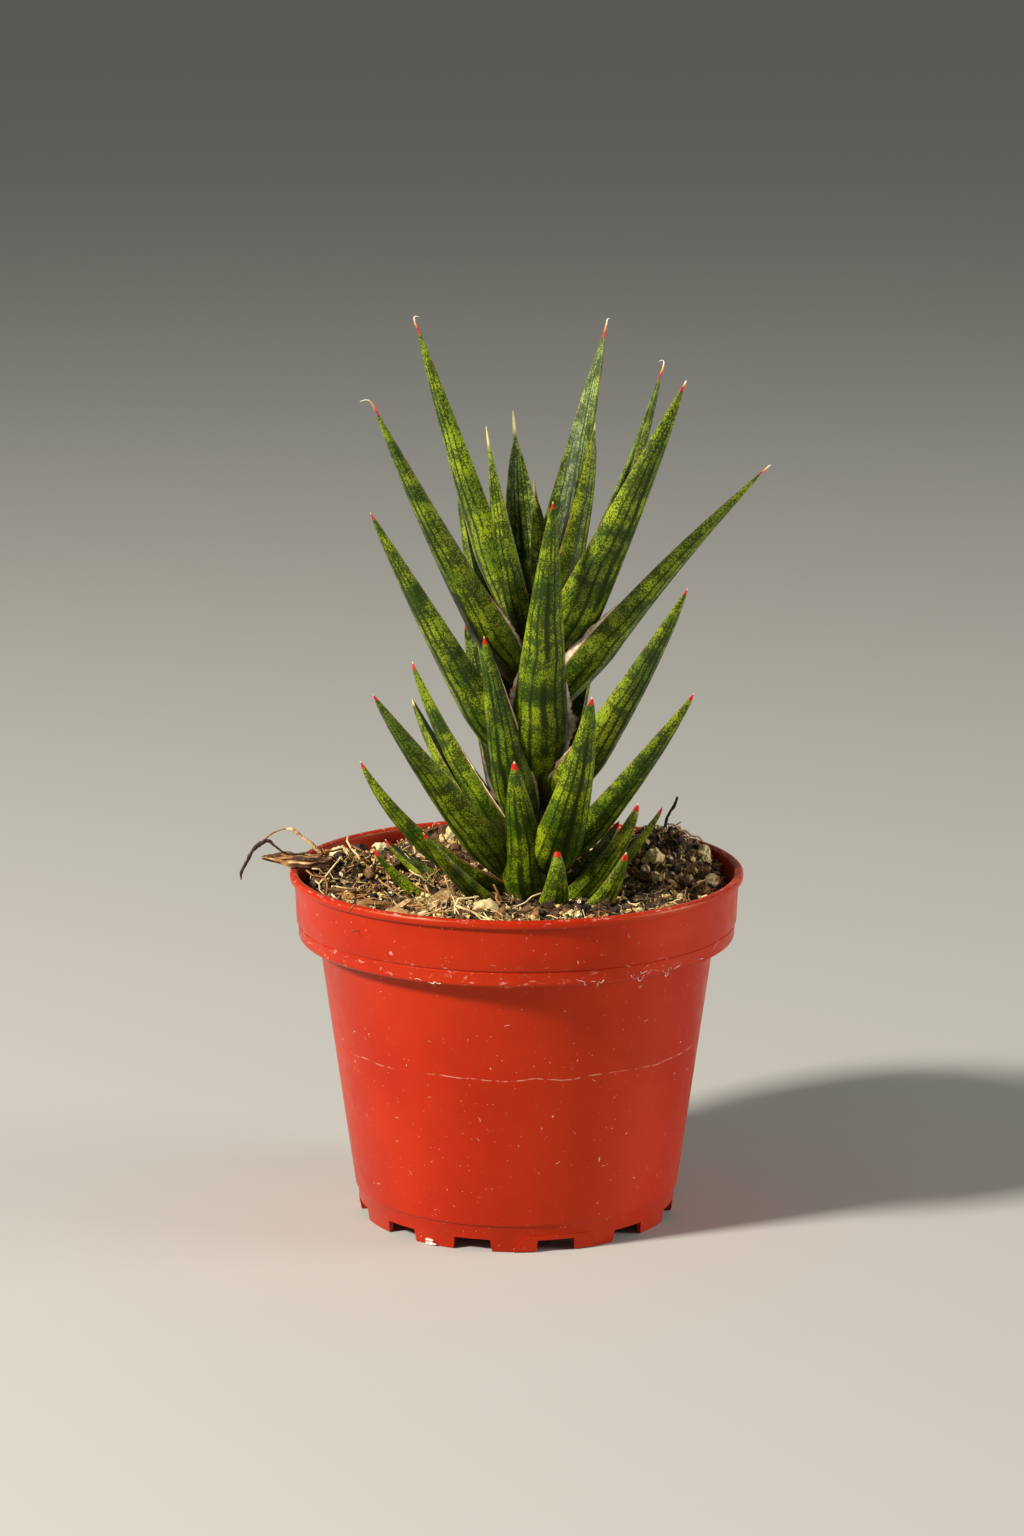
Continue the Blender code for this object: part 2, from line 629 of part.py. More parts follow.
def make_cords(collection):
    """Two roots at the left of the lip and a twig in the heap at the right."""
    dark = make_material("root_dark_brown", (0.05, 0.03, 0.02), 0.8)
    pale = make_material("root_tan", (0.45, 0.30, 0.16), 0.8)
    chip_top = POT_HEIGHT + SEAT_GAP + CHIP_THICKNESS
    rest = chip_top + SEAT_GAP + ROOT_RADIUS
    curl = [
        Vector((-LIP_RADIUS + 4 * MM, 0, rest)),
        Vector((-LIP_RADIUS - 1 * MM, 0, rest + 0.2 * MM)),
        Vector((-LIP_RADIUS - 5.5 * MM, 0, rest + 3.5 * MM)),
        Vector((-LIP_RADIUS - 9 * MM, -1 * MM, rest + 2 * MM)),
        Vector((-LIP_RADIUS - 11.5 * MM, -2 * MM, rest - 2 * MM)),
        Vector((-LIP_RADIUS - 13 * MM, -2 * MM, rest - 6.5 * MM)),
    ]
    sprig_x = -LIP_RADIUS + 9.5 * MM
    sprig_y = 7.0 * MM
    sprig_foot = soil_height(sprig_x, sprig_y) - 3 * MM
    sprig = [
        Vector((sprig_x, sprig_y, sprig_foot)),
        Vector((sprig_x - 1.5 * MM, sprig_y - 0.5 * MM, sprig_foot + 5 * MM)),
        Vector((sprig_x - 5 * MM, sprig_y - 1 * MM, sprig_foot + 9.5 * MM)),
        Vector((sprig_x - 11 * MM, sprig_y - 1 * MM, sprig_foot + 11.5 * MM)),
    ]
    twig_x = 40.0 * PLACE
    twig_y = 25.0 * PLACE
    twig_foot = soil_height(twig_x, twig_y) - 3 * MM
    twig = [
        Vector((twig_x, twig_y, twig_foot)),
        Vector((twig_x + 0.5 * MM, twig_y, twig_foot + 5 * MM)),
        Vector((twig_x + 2.5 * MM, twig_y, twig_foot + 8.5 * MM)),
        Vector((twig_x + 3.5 * MM, twig_y, twig_foot + 11.5 * MM)),
    ]
    cords = [
        ("curled_root_rim", curl, ROOT_RADIUS, dark),
        ("fine_root_rim", sprig, FINE_ROOT_RADIUS, pale),
        ("twig", twig, TWIG_RADIUS, dark),
    ]
    for name, points, radius, material in cords:
        obj = make_object(name, cord_mesh(name, points, radius), collection, material)
        obj.data.shade_smooth()
    return [cord_mesh(name, points, radius + SEAT_GAP) for name, points, radius, material in cords]


clear_scene()
parts = make_collection("potted_snake_plant")
cutters = make_collection("cutters")
make_pot(parts, cutters)
make_stem(parts)
leaves = make_leaves(parts, cutters)
lumps = make_lumps(parts, cutters, leaves)
barks = make_barks(parts, cutters, leaves)
cords = make_cords(parts)
make_soil(parts, cutters, leaves + lumps + barks + cords)
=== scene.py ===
"""Looks of the potted snake plant, made piece by piece in the order that a grower would put it together."""

import math
import random

import bpy
from mathutils import Euler, Matrix, Vector, noise
from mathutils.bvhtree import BVHTree


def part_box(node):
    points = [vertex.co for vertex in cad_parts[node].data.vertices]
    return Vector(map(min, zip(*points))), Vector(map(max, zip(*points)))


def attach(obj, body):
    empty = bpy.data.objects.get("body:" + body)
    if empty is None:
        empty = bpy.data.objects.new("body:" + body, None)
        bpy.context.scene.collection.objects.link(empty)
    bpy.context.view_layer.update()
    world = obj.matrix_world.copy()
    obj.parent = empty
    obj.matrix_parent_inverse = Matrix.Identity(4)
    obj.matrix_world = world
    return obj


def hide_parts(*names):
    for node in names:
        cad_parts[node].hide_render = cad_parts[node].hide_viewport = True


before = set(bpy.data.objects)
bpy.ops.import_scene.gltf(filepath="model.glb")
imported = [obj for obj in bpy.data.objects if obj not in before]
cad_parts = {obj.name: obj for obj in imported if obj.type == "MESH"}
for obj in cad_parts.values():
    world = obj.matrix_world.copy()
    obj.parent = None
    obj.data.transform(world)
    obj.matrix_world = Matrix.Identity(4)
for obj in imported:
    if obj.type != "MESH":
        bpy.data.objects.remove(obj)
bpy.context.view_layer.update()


# ---- The pot ----
# A round nursery pot, injection-moulded in one shot from matt red-orange polypropylene: a rolled lip,
# a deep collar that the next pot's body stacks into, a tapered body, and a foot ring with notches
# that let water run out. It has been handled a lot, so it carries dust, scratches and bits of lint.
MM = 0.001
POT_SIDES = 160
LIP_TOP = 93.0
FOOT_RADIUS = 41.8
NOTCHES = 12
FIRST_NOTCH = 14.0


def arc(radius, height, bend, start, end, steps):
    """Points of a rounding in the pot's section, about (radius, height), in millimetres and degrees."""
    angles = [math.radians(start + (end - start) * step / steps) for step in range(steps + 1)]
    return [(radius + bend * math.cos(a), height + bend * math.sin(a)) for a in angles]


def turn_on_wheel(name, section, sides):
    """A closed solid from a section of (radius, height) points, drawn ring by ring about the Z axis."""
    bpy.ops.object.select_all(action="DESELECT")
    radius, height = section[0]
    bpy.ops.mesh.primitive_circle_add(
        vertices=sides, radius=radius * MM, location=(0, 0, height * MM), fill_type="NGON"
    )
    piece = bpy.context.object
    piece.name = piece.data.name = name
    bpy.ops.object.transform_apply()
    bpy.ops.object.mode_set(mode="EDIT")
    bpy.ops.mesh.select_all(action="SELECT")
    bpy.ops.mesh.delete(type="ONLY_FACE")
    bpy.ops.mesh.select_all(action="SELECT")
    bpy.ops.mesh.edge_face_add()
    for new_radius, new_height in section[1:]:
        bpy.ops.mesh.extrude_region_move(
            TRANSFORM_OT_translate={"value": (0, 0, (new_height - height) * MM)}
        )
        grow = new_radius / radius
        bpy.ops.transform.resize(value=(grow, grow, 1), center_override=(0, 0, new_height * MM))
        radius, height = new_radius, new_height
    bpy.ops.mesh.select_all(action="SELECT")
    bpy.ops.mesh.normals_make_consistent(inside=False)
    bpy.ops.object.mode_set(mode="OBJECT")
    return piece


def repeat_round(piece, count, first):
    """Copies a piece round the Z axis, each copy with its own mesh, and joins them."""
    bpy.ops.object.select_all(action="DESELECT")
    for step in range(count):
        copy = piece.copy()
        copy.data = piece.data.copy()
        copy.data.transform(Matrix.Rotation(math.radians(first + 360 * step / count), 4, "Z"))
        bpy.context.scene.collection.objects.link(copy)
        copy.select_set(True)
        bpy.context.view_layer.objects.active = copy
    bpy.data.objects.remove(piece)
    bpy.ops.object.join()
    return bpy.context.object


def boolean(piece, tool, operation):
    """Cuts or adds a tool's shape for good, and puts the tool away."""
    change = piece.modifiers.new("change", "BOOLEAN")
    change.operation = operation
    change.solver = "EXACT"
    change.object = tool
    bpy.ops.object.select_all(action="DESELECT")
    bpy.context.view_layer.objects.active = piece
    piece.select_set(True)
    bpy.ops.object.modifier_apply(modifier="change")
    bpy.data.objects.remove(tool)


def box_tool(centre, size, top_share):
    """A block in millimetres, narrowed across to a share of its width at its top."""
    bpy.ops.object.select_all(action="DESELECT")
    bpy.ops.mesh.primitive_cube_add(size=1)
    tool = bpy.context.object
    tool.data.transform(Matrix.LocRotScale(Vector(centre) * MM, None, Vector(size) * MM))
    bpy.ops.object.mode_set(mode="EDIT")
    bpy.ops.mesh.select_all(action="DESELECT")
    bpy.ops.object.mode_set(mode="OBJECT")
    for vertex in tool.data.vertices:
        vertex.select = vertex.co.z > centre[2] * MM
    bpy.ops.object.mode_set(mode="EDIT")
    bpy.ops.transform.resize(value=(top_share, 1, 1), center_override=Vector(centre) * MM)
    bpy.ops.object.mode_set(mode="OBJECT")
    return tool


inside = [(2, 1.2), (22, 1.2), (25, 4.9), (40.2, 4.9), (40.8, 5.6), (42.0, 8.7), (46.6, 42)]
inside += [(51.3, 76.2), (54.9, 77.2), (55.9, 77.9), (56.4, 79)]
lip = [(57.6, 90.6)] + arc(58.75, 91.95, 1.05, 180, 90, 5) + arc(58.95, 91.95, 1.05, 90, 0, 6)
lip += arc(59.35, 91.35, 0.65, 0, -90, 4) + [(58.85, 90.65), (58.78, 90.3)]
collar = [(58.5, 85), (58.3, 79.9), (58.15, 79.55), (57.72, 79.3), (57.7, 79.1), (57.95, 78.85)]
collar += [(57.8, 77.5)] + arc(56.75, 76.1, 1.0, 5, -90, 6) + [(54.6, 75.05), (53.1, 75.0)]
body = [(52.65, 74.85), (52.4, 74.3), (50.09, 57.5), (47.68, 40), (45.34, 23), (43.28, 8.1)]
body += [(43.2, 7.6), (43.08, 7.38), (42.78, 7.28), (42.68, 7.1)]
foot = [(41.88, 0.5), (41.7, 0.1), (41.4, 0), (40.8, 0), (40.6, 0.2), (40.6, 3.5), (40.4, 3.7)]
beneath = [(25.8, 3.7), (25.4, 3.5), (22.8, 0.2), (22.4, 0), (2, 0)]
pot = turn_on_wheel("nursery_pot", inside + lip + collar + body + foot + beneath, POT_SIDES)

panel = box_tool((0, -FOOT_RADIUS, 2.3), (22.4, 1.6, 4.0), 0.74)
bpy.context.view_layer.objects.active = panel
bpy.ops.object.mode_set(mode="EDIT")
bpy.ops.mesh.select_all(action="SELECT")
bpy.ops.mesh.subdivide(number_cuts=9)
bpy.ops.object.mode_set(mode="OBJECT")
for vertex in panel.data.vertices:
    outward = -vertex.co.y / MM - FOOT_RADIUS
    reach = (FOOT_RADIUS - 0.42 + outward + 0.124 * vertex.co.z / MM) * MM
    azimuth = vertex.co.x / (FOOT_RADIUS * MM)
    vertex.co.x = reach * math.sin(azimuth)
    vertex.co.y = -reach * math.cos(azimuth)
boolean(pot, repeat_round(panel, 3, FIRST_NOTCH), "UNION")
notch = box_tool((0, -FOOT_RADIUS, 0.7), (10.9, 8, 5.4), 0.89)
boolean(pot, repeat_round(notch, NOTCHES, FIRST_NOTCH), "DIFFERENCE")
drain = box_tool((0, -34.2, 4.3), (6, 10.4, 3), 1.0)
boolean(pot, repeat_round(drain, NOTCHES, FIRST_NOTCH), "DIFFERENCE")
bpy.ops.object.shade_smooth_by_angle(angle=math.radians(32))


def add(tree, kind, inputs=None, **settings):
    """A shader node with its settings, and its inputs as values or as the sockets that feed them."""
    made = tree.nodes.new(kind)
    for key, value in settings.items():
        setattr(made, key, value)
    for key, value in (inputs or {}).items():
        if isinstance(value, bpy.types.NodeSocket):
            tree.links.new(value, made.inputs[key])
        else:
            made.inputs[key].default_value = value
    return made


def sum_of(tree, operation, a, b=0.0, c=0.0):
    """The output of a maths node on up to three values or sockets."""
    return add(tree, "ShaderNodeMath", {0: a, 1: b, 2: c}, operation=operation).outputs[0]


def between(tree, value, low, high, start=0.0, end=1.0):
    """A smooth step of a value from one bound to the other."""
    inputs = {0: value, 1: low, 2: high, 3: start, 4: end}
    made = add(tree, "ShaderNodeMapRange", inputs, interpolation_type="SMOOTHSTEP")
    return made.outputs[0]


def blend(tree, share, a, b, how="MIX"):
    """Two colours mixed by a share."""
    inputs = {0: share, 6: a, 7: b}
    return add(tree, "ShaderNodeMix", inputs, data_type="RGBA", blend_type=how).outputs[2]


def grain(tree, place, scale, detail=2.0, rough=0.5):
    """Noise over a place."""
    inputs = {"Vector": place, "Scale": scale, "Detail": detail, "Roughness": rough}
    return add(tree, "ShaderNodeTexNoise", inputs).outputs["Fac"]


def stretched(tree, place, scale, turn=0.0):
    """A place drawn out along one axis, after a turn about Z."""
    inputs = {"Vector": place, "Scale": scale, "Rotation": (0, 0, math.radians(turn))}
    return add(tree, "ShaderNodeMapping", inputs, vector_type="TEXTURE").outputs[0]


def new_material(name):
    made = bpy.data.materials.new(name)
    made.use_nodes = True
    return made, made.node_tree, made.node_tree.nodes["Principled BSDF"]


def set_shader(tree, shader, inputs):
    for key, value in inputs.items():
        if isinstance(value, bpy.types.NodeSocket):
            tree.links.new(value, shader.inputs[key])
        else:
            shader.inputs[key].default_value = value


plastic, tree, shader = new_material("red_orange_polypropylene")
place = add(tree, "ShaderNodeTexCoord").outputs["Object"]
axes = add(tree, "ShaderNodeSeparateXYZ", {0: place}).outputs
azimuth = sum_of(tree, "ARCTAN2", axes[0], sum_of(tree, "MULTIPLY", axes[1], -1.0))
around = sum_of(tree, "MULTIPLY", azimuth, 50.0)
height = sum_of(tree, "MULTIPLY", axes[2], 1000.0)
wall = add(tree, "ShaderNodeCombineXYZ", {0: around, 1: height}).outputs[0]


def specks(tree, where, scale, size, share):
    """Specks scattered in cells: a share of the cells holds one, each of its own size."""
    cells = add(tree, "ShaderNodeTexVoronoi", {"Vector": where, "Scale": scale})
    chance = add(tree, "ShaderNodeSeparateColor", {0: cells.outputs["Color"]}).outputs
    reach = sum_of(tree, "MULTIPLY", chance[0], size)
    shape = between(tree, cells.outputs["Distance"], sum_of(tree, "MULTIPLY", reach, 0.6), reach, 1, 0)
    return sum_of(tree, "MULTIPLY", shape, sum_of(tree, "LESS_THAN", chance[1], share))


drift = add(tree, "ShaderNodeTexNoise", {"Vector": wall, "Scale": 0.22, "Detail": 2.0})
drift = add(tree, "ShaderNodeVectorMath", {0: drift.outputs["Color"], 1: (0.5,) * 3}, operation="SUBTRACT")
drift = add(tree, "ShaderNodeVectorMath", {0: drift.outputs[0], "Scale": 5.0}, operation="SCALE")
curly = add(tree, "ShaderNodeVectorMath", {0: wall, 1: drift.outputs[0]}, operation="ADD").outputs[0]
dust = specks(tree, wall, 0.80, 0.13, 0.5)
big_dust = specks(tree, stretched(tree, curly, (1.6, 0.8, 1), 60), 0.33, 0.13, 0.3)
scratch = specks(tree, stretched(tree, curly, (9, 0.8, 1), 28), 1.0, 0.17, 0.14)
scratch_2 = specks(tree, stretched(tree, curly, (7, 0.7, 1), -50), 1.0, 0.18, 0.13)
wander = grain(tree, wall, 0.06, 3.0)
scored = sum_of(tree, "SUBTRACT", height, between(tree, wander, 0.3, 0.7, 47.9, 48.9))
scored = between(tree, sum_of(tree, "ABSOLUTE", scored), 0.08, 0.22, 1, 0)
broken = between(tree, grain(tree, wall, 0.35, 4.0), 0.42, 0.55)
stretches = add(tree, "ShaderNodeValToRGB", {0: sum_of(tree, "MULTIPLY_ADD", around, 0.005, 0.5)})
stops = stretches.color_ramp.elements
stops[0].position, stops[1].position = 0.20, 0.82
stops[0].color = stops[1].color = (0, 0, 0, 1)
for spot, value in ((0.24, 0.7), (0.31, 0.7), (0.325, 0), (0.375, 0), (0.39, 1), (0.60, 1), (0.64, 0.3), (0.72, 0.8), (0.79, 0.8)):
    stops.new(spot).color = (value, value, value, 1)
front = stretches.outputs[0]
scored = sum_of(tree, "MULTIPLY", sum_of(tree, "MULTIPLY", scored, broken), sum_of(tree, "MULTIPLY", front, 0.75))
smear = between(tree, grain(tree, stretched(tree, curly, (3.5, 1.2, 1), 12), 1.0, 4.0, 0.6), 0.60, 0.70)
low_collar = between(tree, sum_of(tree, "ABSOLUTE", sum_of(tree, "SUBTRACT", height, 76.5)), 1.5, 5, 1, 0)
smear = sum_of(tree, "MULTIPLY", sum_of(tree, "MULTIPLY", smear, low_collar), 0.7)
# Pale flecks on the top of the rolled lip: partly wear, partly a painted highlight where light catches the lip.
lip_wear_and_highlight = between(tree, grain(tree, stretched(tree, wall, (2.5, 0.6, 1)), 1.0, 4.0, 0.65), 0.56, 0.64)
lip_wear_and_highlight = sum_of(tree, "MULTIPLY", lip_wear_and_highlight, between(tree, height, 91.9, 92.6))
marks = sum_of(tree, "MAXIMUM", sum_of(tree, "MAXIMUM", dust, scratch), scratch_2)
marks = sum_of(tree, "MAXIMUM", sum_of(tree, "MAXIMUM", marks, scored), sum_of(tree, "MAXIMUM", smear, big_dust))
marks = sum_of(tree, "MAXIMUM", marks, sum_of(tree, "MULTIPLY", lip_wear_and_highlight, 0.8))
dark = specks(tree, wall, 0.17, 0.075, 0.35)
cloud = between(tree, grain(tree, place, 26.0, 3.0), 0.35, 0.65)
colour = blend(tree, cloud, (0.360, 0.0110, 0.0014, 1), (0.425, 0.0175, 0.0024, 1))
colour = blend(tree, sum_of(tree, "MULTIPLY", marks, 0.66), colour, (0.80, 0.42, 0.30, 1))
colour = blend(tree, sum_of(tree, "MULTIPLY", dark, 0.8), colour, (0.10, 0.012, 0.006, 1))
rough = between(tree, grain(tree, place, 210.0, 3.0), 0.3, 0.7, 0.33, 0.44)
rough = sum_of(tree, "ADD", rough, sum_of(tree, "MULTIPLY", marks, 0.3))
skin = sum_of(tree, "ADD", grain(tree, place, 900.0, 2.0), sum_of(tree, "MULTIPLY", marks, 0.6))
bump = add(tree, "ShaderNodeBump", {"Strength": 0.18, "Distance": 0.0002, "Height": skin}).outputs[0]
set_shader(tree, shader, {"Base Color": colour, "Roughness": rough, "Normal": bump, "Specular IOR Level": 0.3,
                         "Specular Tint": (1.0, 0.80, 0.42, 1), "Sheen Weight": 0.10, "Sheen Roughness": 0.4, "Sheen Tint": (1.0, 0.50, 0.28, 1)})
pot.data.materials.clear()
pot.data.materials.append(plastic)
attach(pot, "root")
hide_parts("pot")


# ---- Lint on the pot ----
# Wisps of pale film and fibre have caught along the collar's lower edge, a brown hair lies over the
# lip, and a scrap of a paper label shows under the foot. They only cling to the plastic.
def thread(name, points, radii, sides=3):
    """A round thread through points in millimetres, as thick at each as its radius."""
    bpy.ops.object.select_all(action="DESELECT")
    bpy.ops.curve.primitive_bezier_curve_add()
    made = bpy.context.object
    made.name = made.data.name = name
    spline = made.data.splines[0]
    spline.bezier_points.add(len(points) - 2)
    for knot, point, radius in zip(spline.bezier_points, points, radii):
        knot.co = Vector(point) * MM
        knot.handle_left_type = knot.handle_right_type = "AUTO"
        knot.radius = radius
    made.data.resolution_u = 8
    made.data.bevel_depth = MM
    made.data.bevel_resolution = sides
    made.data.use_fill_caps = True
    bpy.ops.object.convert(target="MESH")
    bpy.ops.object.mode_set(mode="EDIT")
    bpy.ops.mesh.select_all(action="SELECT")
    bpy.ops.mesh.remove_doubles(threshold=0.000002)
    bpy.ops.mesh.normals_make_consistent(inside=False)
    bpy.ops.object.mode_set(mode="OBJECT")
    bpy.ops.object.shade_smooth()
    return made


def on_collar(azimuth, height, off=0.12):
    """A point just off the collar's outside at an azimuth in degrees and a height in millimetres."""
    radius = min(57.85 + 0.045 * (height - 77.5), 58.9) - 0.5 * max(76.2 - height, 0) ** 0.5 + off
    if height > 91.4:
        radius = 60.0 - 0.5 * max(height - 92.2, 0) + off
    turn = math.radians(azimuth)
    return (radius * math.sin(turn), -radius * math.cos(turn), height)


film, tree, shader = new_material("pale_film_and_lint")
place = add(tree, "ShaderNodeTexCoord").outputs["Object"]
cloud = grain(tree, place, 600.0, 2.0)
colour = blend(tree, between(tree, cloud, 0.4, 0.6), (0.72, 0.42, 0.32, 1), (0.88, 0.80, 0.76, 1))
rough = between(tree, cloud, 0.3, 0.7, 0.55, 0.8)
set_shader(tree, shader, {"Base Color": colour, "Roughness": rough})
hair_skin, tree, shader = new_material("brown_hair")
place = add(tree, "ShaderNodeTexCoord").outputs["Object"]
cloud = grain(tree, place, 900.0, 2.0)
colour = blend(tree, between(tree, cloud, 0.4, 0.6), (0.22, 0.055, 0.012, 1), (0.50, 0.20, 0.06, 1))
rough = between(tree, cloud, 0.3, 0.7, 0.5, 0.7)
set_shader(tree, shader, {"Base Color": colour, "Roughness": rough})
WISPS = [
    # azimuth, height, span in degrees, drop, radius
    (-28, 76.3, 5.5, 0.9, 0.10),
    (-24, 75.8, 4.5, 0.5, 0.20),
    (15, 77.0, 5.0, 2.6, 0.06),
    (19, 76.2, 3.4, 1.6, 0.11),
    (30, 76.6, 4.2, 2.2, 0.07),
    (33, 77.0, 2.0, 0.9, 0.13),
    (40, 76.3, 2.2, 2.2, 0.09),
    (43, 76.6, 3.2, 1.0, 0.08),
    (54, 76.8, 2.4, 1.6, 0.10),
    (152, 76.4, 6.0, 2.2, 0.10),
    (-120, 76.6, 4.5, 2.0, 0.10),
]
wisp_chance = random.Random(7)
wisps = []
for azimuth, height, span, drop, radius in WISPS:
    runs = [0] + sorted(wisp_chance.uniform(0.1, 0.9) for _ in range(4)) + [1]
    falls = [0] + [-wisp_chance.uniform(0.1, 1.0) for _ in range(4)] + [wisp_chance.uniform(-0.6, 0.2)]
    line = [on_collar(azimuth + span * run, height + drop * fall) for run, fall in zip(runs, falls)]
    widths = [radius * wisp_chance.uniform(0.4, 1.4) for _ in line]
    wisps.append(thread("wisp", line, widths, 1))
scrap_turn = math.radians(-34)
for lean in (0.0, 0.9):
    start = Vector((42.2 * math.sin(scrap_turn), -42.2 * math.cos(scrap_turn), 0.5 + lean))
    along = Vector((math.cos(scrap_turn), math.sin(scrap_turn), 0))
    wisps.append(thread("scrap", [start, start + along * 1.6, start + along * (3.2 - lean)], (0.45, 0.45, 0.2), 1))
bpy.ops.object.select_all(action="DESELECT")
for wisp in wisps:
    wisp.select_set(True)
bpy.context.view_layer.objects.active = wisps[0]
bpy.ops.object.join()
lint = bpy.context.object
lint.name = lint.data.name = "pale_lint"
lint.data.materials.clear()
lint.data.materials.append(film)
hair_line = [on_collar(-44, 93.2), on_collar(-45, 91.8), on_collar(-46.5, 90), on_collar(-46, 87), on_collar(-47.5, 84)]
hair = thread("brown_hair_on_lip", hair_line, (0.16, 0.18, 0.16, 0.16, 0.06), 1)
hair.data.materials.append(hair_skin)
for piece in (lint, hair):
    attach(piece, "root")


# ---- The potting mix ----
# Peat and coir pressed in round the roots to just under the lip, rough and heaped where it was
# watered. Crumbs, fibres, splinters of bark and white perlite lie loose over it.
SOIL_LEVEL = 88.0
STEM_X = 4.5
STEM_Y = -2.0
HEAPS = [
    # x, y, spread, height
    (39, 20, 15, 11.0),
    (-40, 16, 13, 4.0),
    (-50, 3, 9, 5.5),
    (-18, 40, 13, 6.0),
    (-14, -42, 11, 3.5),
    (6, 46, 14, 4.0),
]


def soil_height(x, y):
    """Height of the mix at a place, in millimetres: its level, the heaps and the dip at the crown."""
    height = SOIL_LEVEL
    for heap_x, heap_y, spread, rise in HEAPS:
        away = math.hypot(x - heap_x, y - heap_y) / spread
        height += rise * math.exp(-away * away)
    away = math.hypot(x - STEM_X, y - STEM_Y) / 12
    return height - 4 * math.exp(-away * away) + 1.2 * noise.noise(Vector((x, y, 0)) / 7)


surface = [(0.9 * ring, SOIL_LEVEL) for ring in range(1, 63)]
shell = [(56.3, 84.5), (56.0, 79.2), (55.0, 78.0), (51.0, 76.6), (41.7, 9.0), (40.2, 5.3)]
shell += [(25, 5.3), (21.7, 1.6), (2, 1.6)]
soil = turn_on_wheel("potting_mix", surface + shell, 230)
for vertex in soil.data.vertices:
    x, y = vertex.co.x / MM, vertex.co.y / MM
    if vertex.co.z > (SOIL_LEVEL - 1) * MM:
        edge = min(max((57 - math.hypot(x, y)) / 6, 0), 1)
        spot = Vector((x, y, 0))
        coarse = noise.fractal(spot / 4.5, 0.9, 2.1, 4, noise_basis="PERLIN_ORIGINAL")
        clods = 0.5 - noise.noise(spot / 2.6 + Vector((5, 1, 3))) ** 2 * 4
        vertex.co.z = (soil_height(x, y) + (1.8 * coarse + 0.9 * clods - 0.7) * edge - 2.2 * (1 - edge)) * MM
bpy.ops.object.select_all(action="DESELECT")
soil.select_set(True)
bpy.context.view_layer.objects.active = soil
bpy.ops.object.shade_smooth_by_angle(angle=math.radians(60))

peat, tree, shader = new_material("damp_peat_and_coir")
place = add(tree, "ShaderNodeTexCoord").outputs["Object"]
fleck = between(tree, grain(tree, place, 900.0, 4.0, 0.7), 0.50, 0.68)
patch = between(tree, grain(tree, place, 130.0, 3.0, 0.6), 0.42, 0.62)
strand = between(tree, grain(tree, stretched(tree, place, (0.006, 0.0006, 0.0006), 15), 1.0, 3.0), 0.56, 0.66)
colour = blend(tree, patch, (0.004, 0.0020, 0.0009, 1), (0.042, 0.019, 0.006, 1))
colour = blend(tree, sum_of(tree, "MULTIPLY", strand, 0.75), colour, (0.30, 0.140, 0.036, 1))
colour = blend(tree, sum_of(tree, "MULTIPLY", fleck, 0.7), colour, (0.42, 0.24, 0.070, 1))
relief = sum_of(tree, "ADD", grain(tree, place, 500.0, 5.0, 0.7), sum_of(tree, "MULTIPLY", strand, 0.3))
bump = add(tree, "ShaderNodeBump", {"Strength": 0.9, "Distance": 0.0012, "Height": relief}).outputs[0]
rough = between(tree, patch, 0, 1, 0.75, 0.95)
set_shader(tree, shader, {"Base Color": colour, "Roughness": rough, "Normal": bump})
soil.data.materials.clear()
soil.data.materials.append(peat)
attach(soil, "root")
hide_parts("soil")

chance = random.Random(41)
ground = BVHTree.FromPolygons(
    [vertex.co for vertex in soil.data.vertices], [list(face.vertices) for face in soil.data.polygons]
)


def on_ground(x, y, lift=0.0):
    """The point of the mix's surface under a place in millimetres, and its normal."""
    hit, normal, face, away = ground.ray_cast(Vector((x * MM, y * MM, 0.15)), Vector((0, 0, -1)))
    return hit + Vector((0, 0, lift * MM)), normal


def ground_spots(count, size, stretch, lift, shades, region=None, flat=0.0):
    """Random places on the mix: (place, turn, size, shade), clear of the stem and the wall."""
    spots = []
    while len(spots) < count:
        reach = 55.5 * math.sqrt(chance.random())
        azimuth = chance.uniform(-math.pi, math.pi)
        x, y = reach * math.sin(azimuth), -reach * math.cos(azimuth)
        if math.hypot(x - STEM_X, y - STEM_Y) < 5 or (region and not region(x, y)):
            continue
        big = size[0] + (size[1] - size[0]) * chance.random() ** 2.2
        where, normal = on_ground(x, y, lift * big)
        tilt = normal.to_track_quat("Z", "Y").to_matrix() if flat else Matrix.Identity(3)
        wobble = 1.2 * (1 - flat)
        turn = Euler((chance.uniform(-wobble, wobble), chance.uniform(-wobble, wobble), 0)).to_matrix()
        turn = tilt @ Matrix.Rotation(chance.uniform(-math.pi, math.pi), 3, "Z") @ turn
        scale = Vector([big * chance.uniform(*stretch[axis]) for axis in range(3)]) * MM
        spots.append((where, turn, scale, chance.choice(shades) + chance.uniform(-0.06, 0.06)))
    return spots


def strew(name, masters, spots, material):
    """Copies masters to the spots, each copy with its own mesh and shade, as one loose layer."""
    bpy.ops.object.select_all(action="DESELECT")
    for index, (where, turn, scale, shade) in enumerate(spots):
        copy = masters[index % len(masters)].copy()
        copy.data = copy.data.copy()
        copy.data.transform(Matrix.LocRotScale(where, turn, scale))
        tint = copy.data.attributes.new("shade", "FLOAT", "POINT")
        tint.data.foreach_set("value", [shade] * len(copy.data.vertices))
        bpy.context.scene.collection.objects.link(copy)
        copy.select_set(True)
        bpy.context.view_layer.objects.active = copy
    bpy.ops.object.join()
    layer = bpy.context.object
    layer.name = layer.data.name = name
    layer.data.materials.clear()
    layer.data.materials.append(material)
    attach(layer, "root")
    return layer


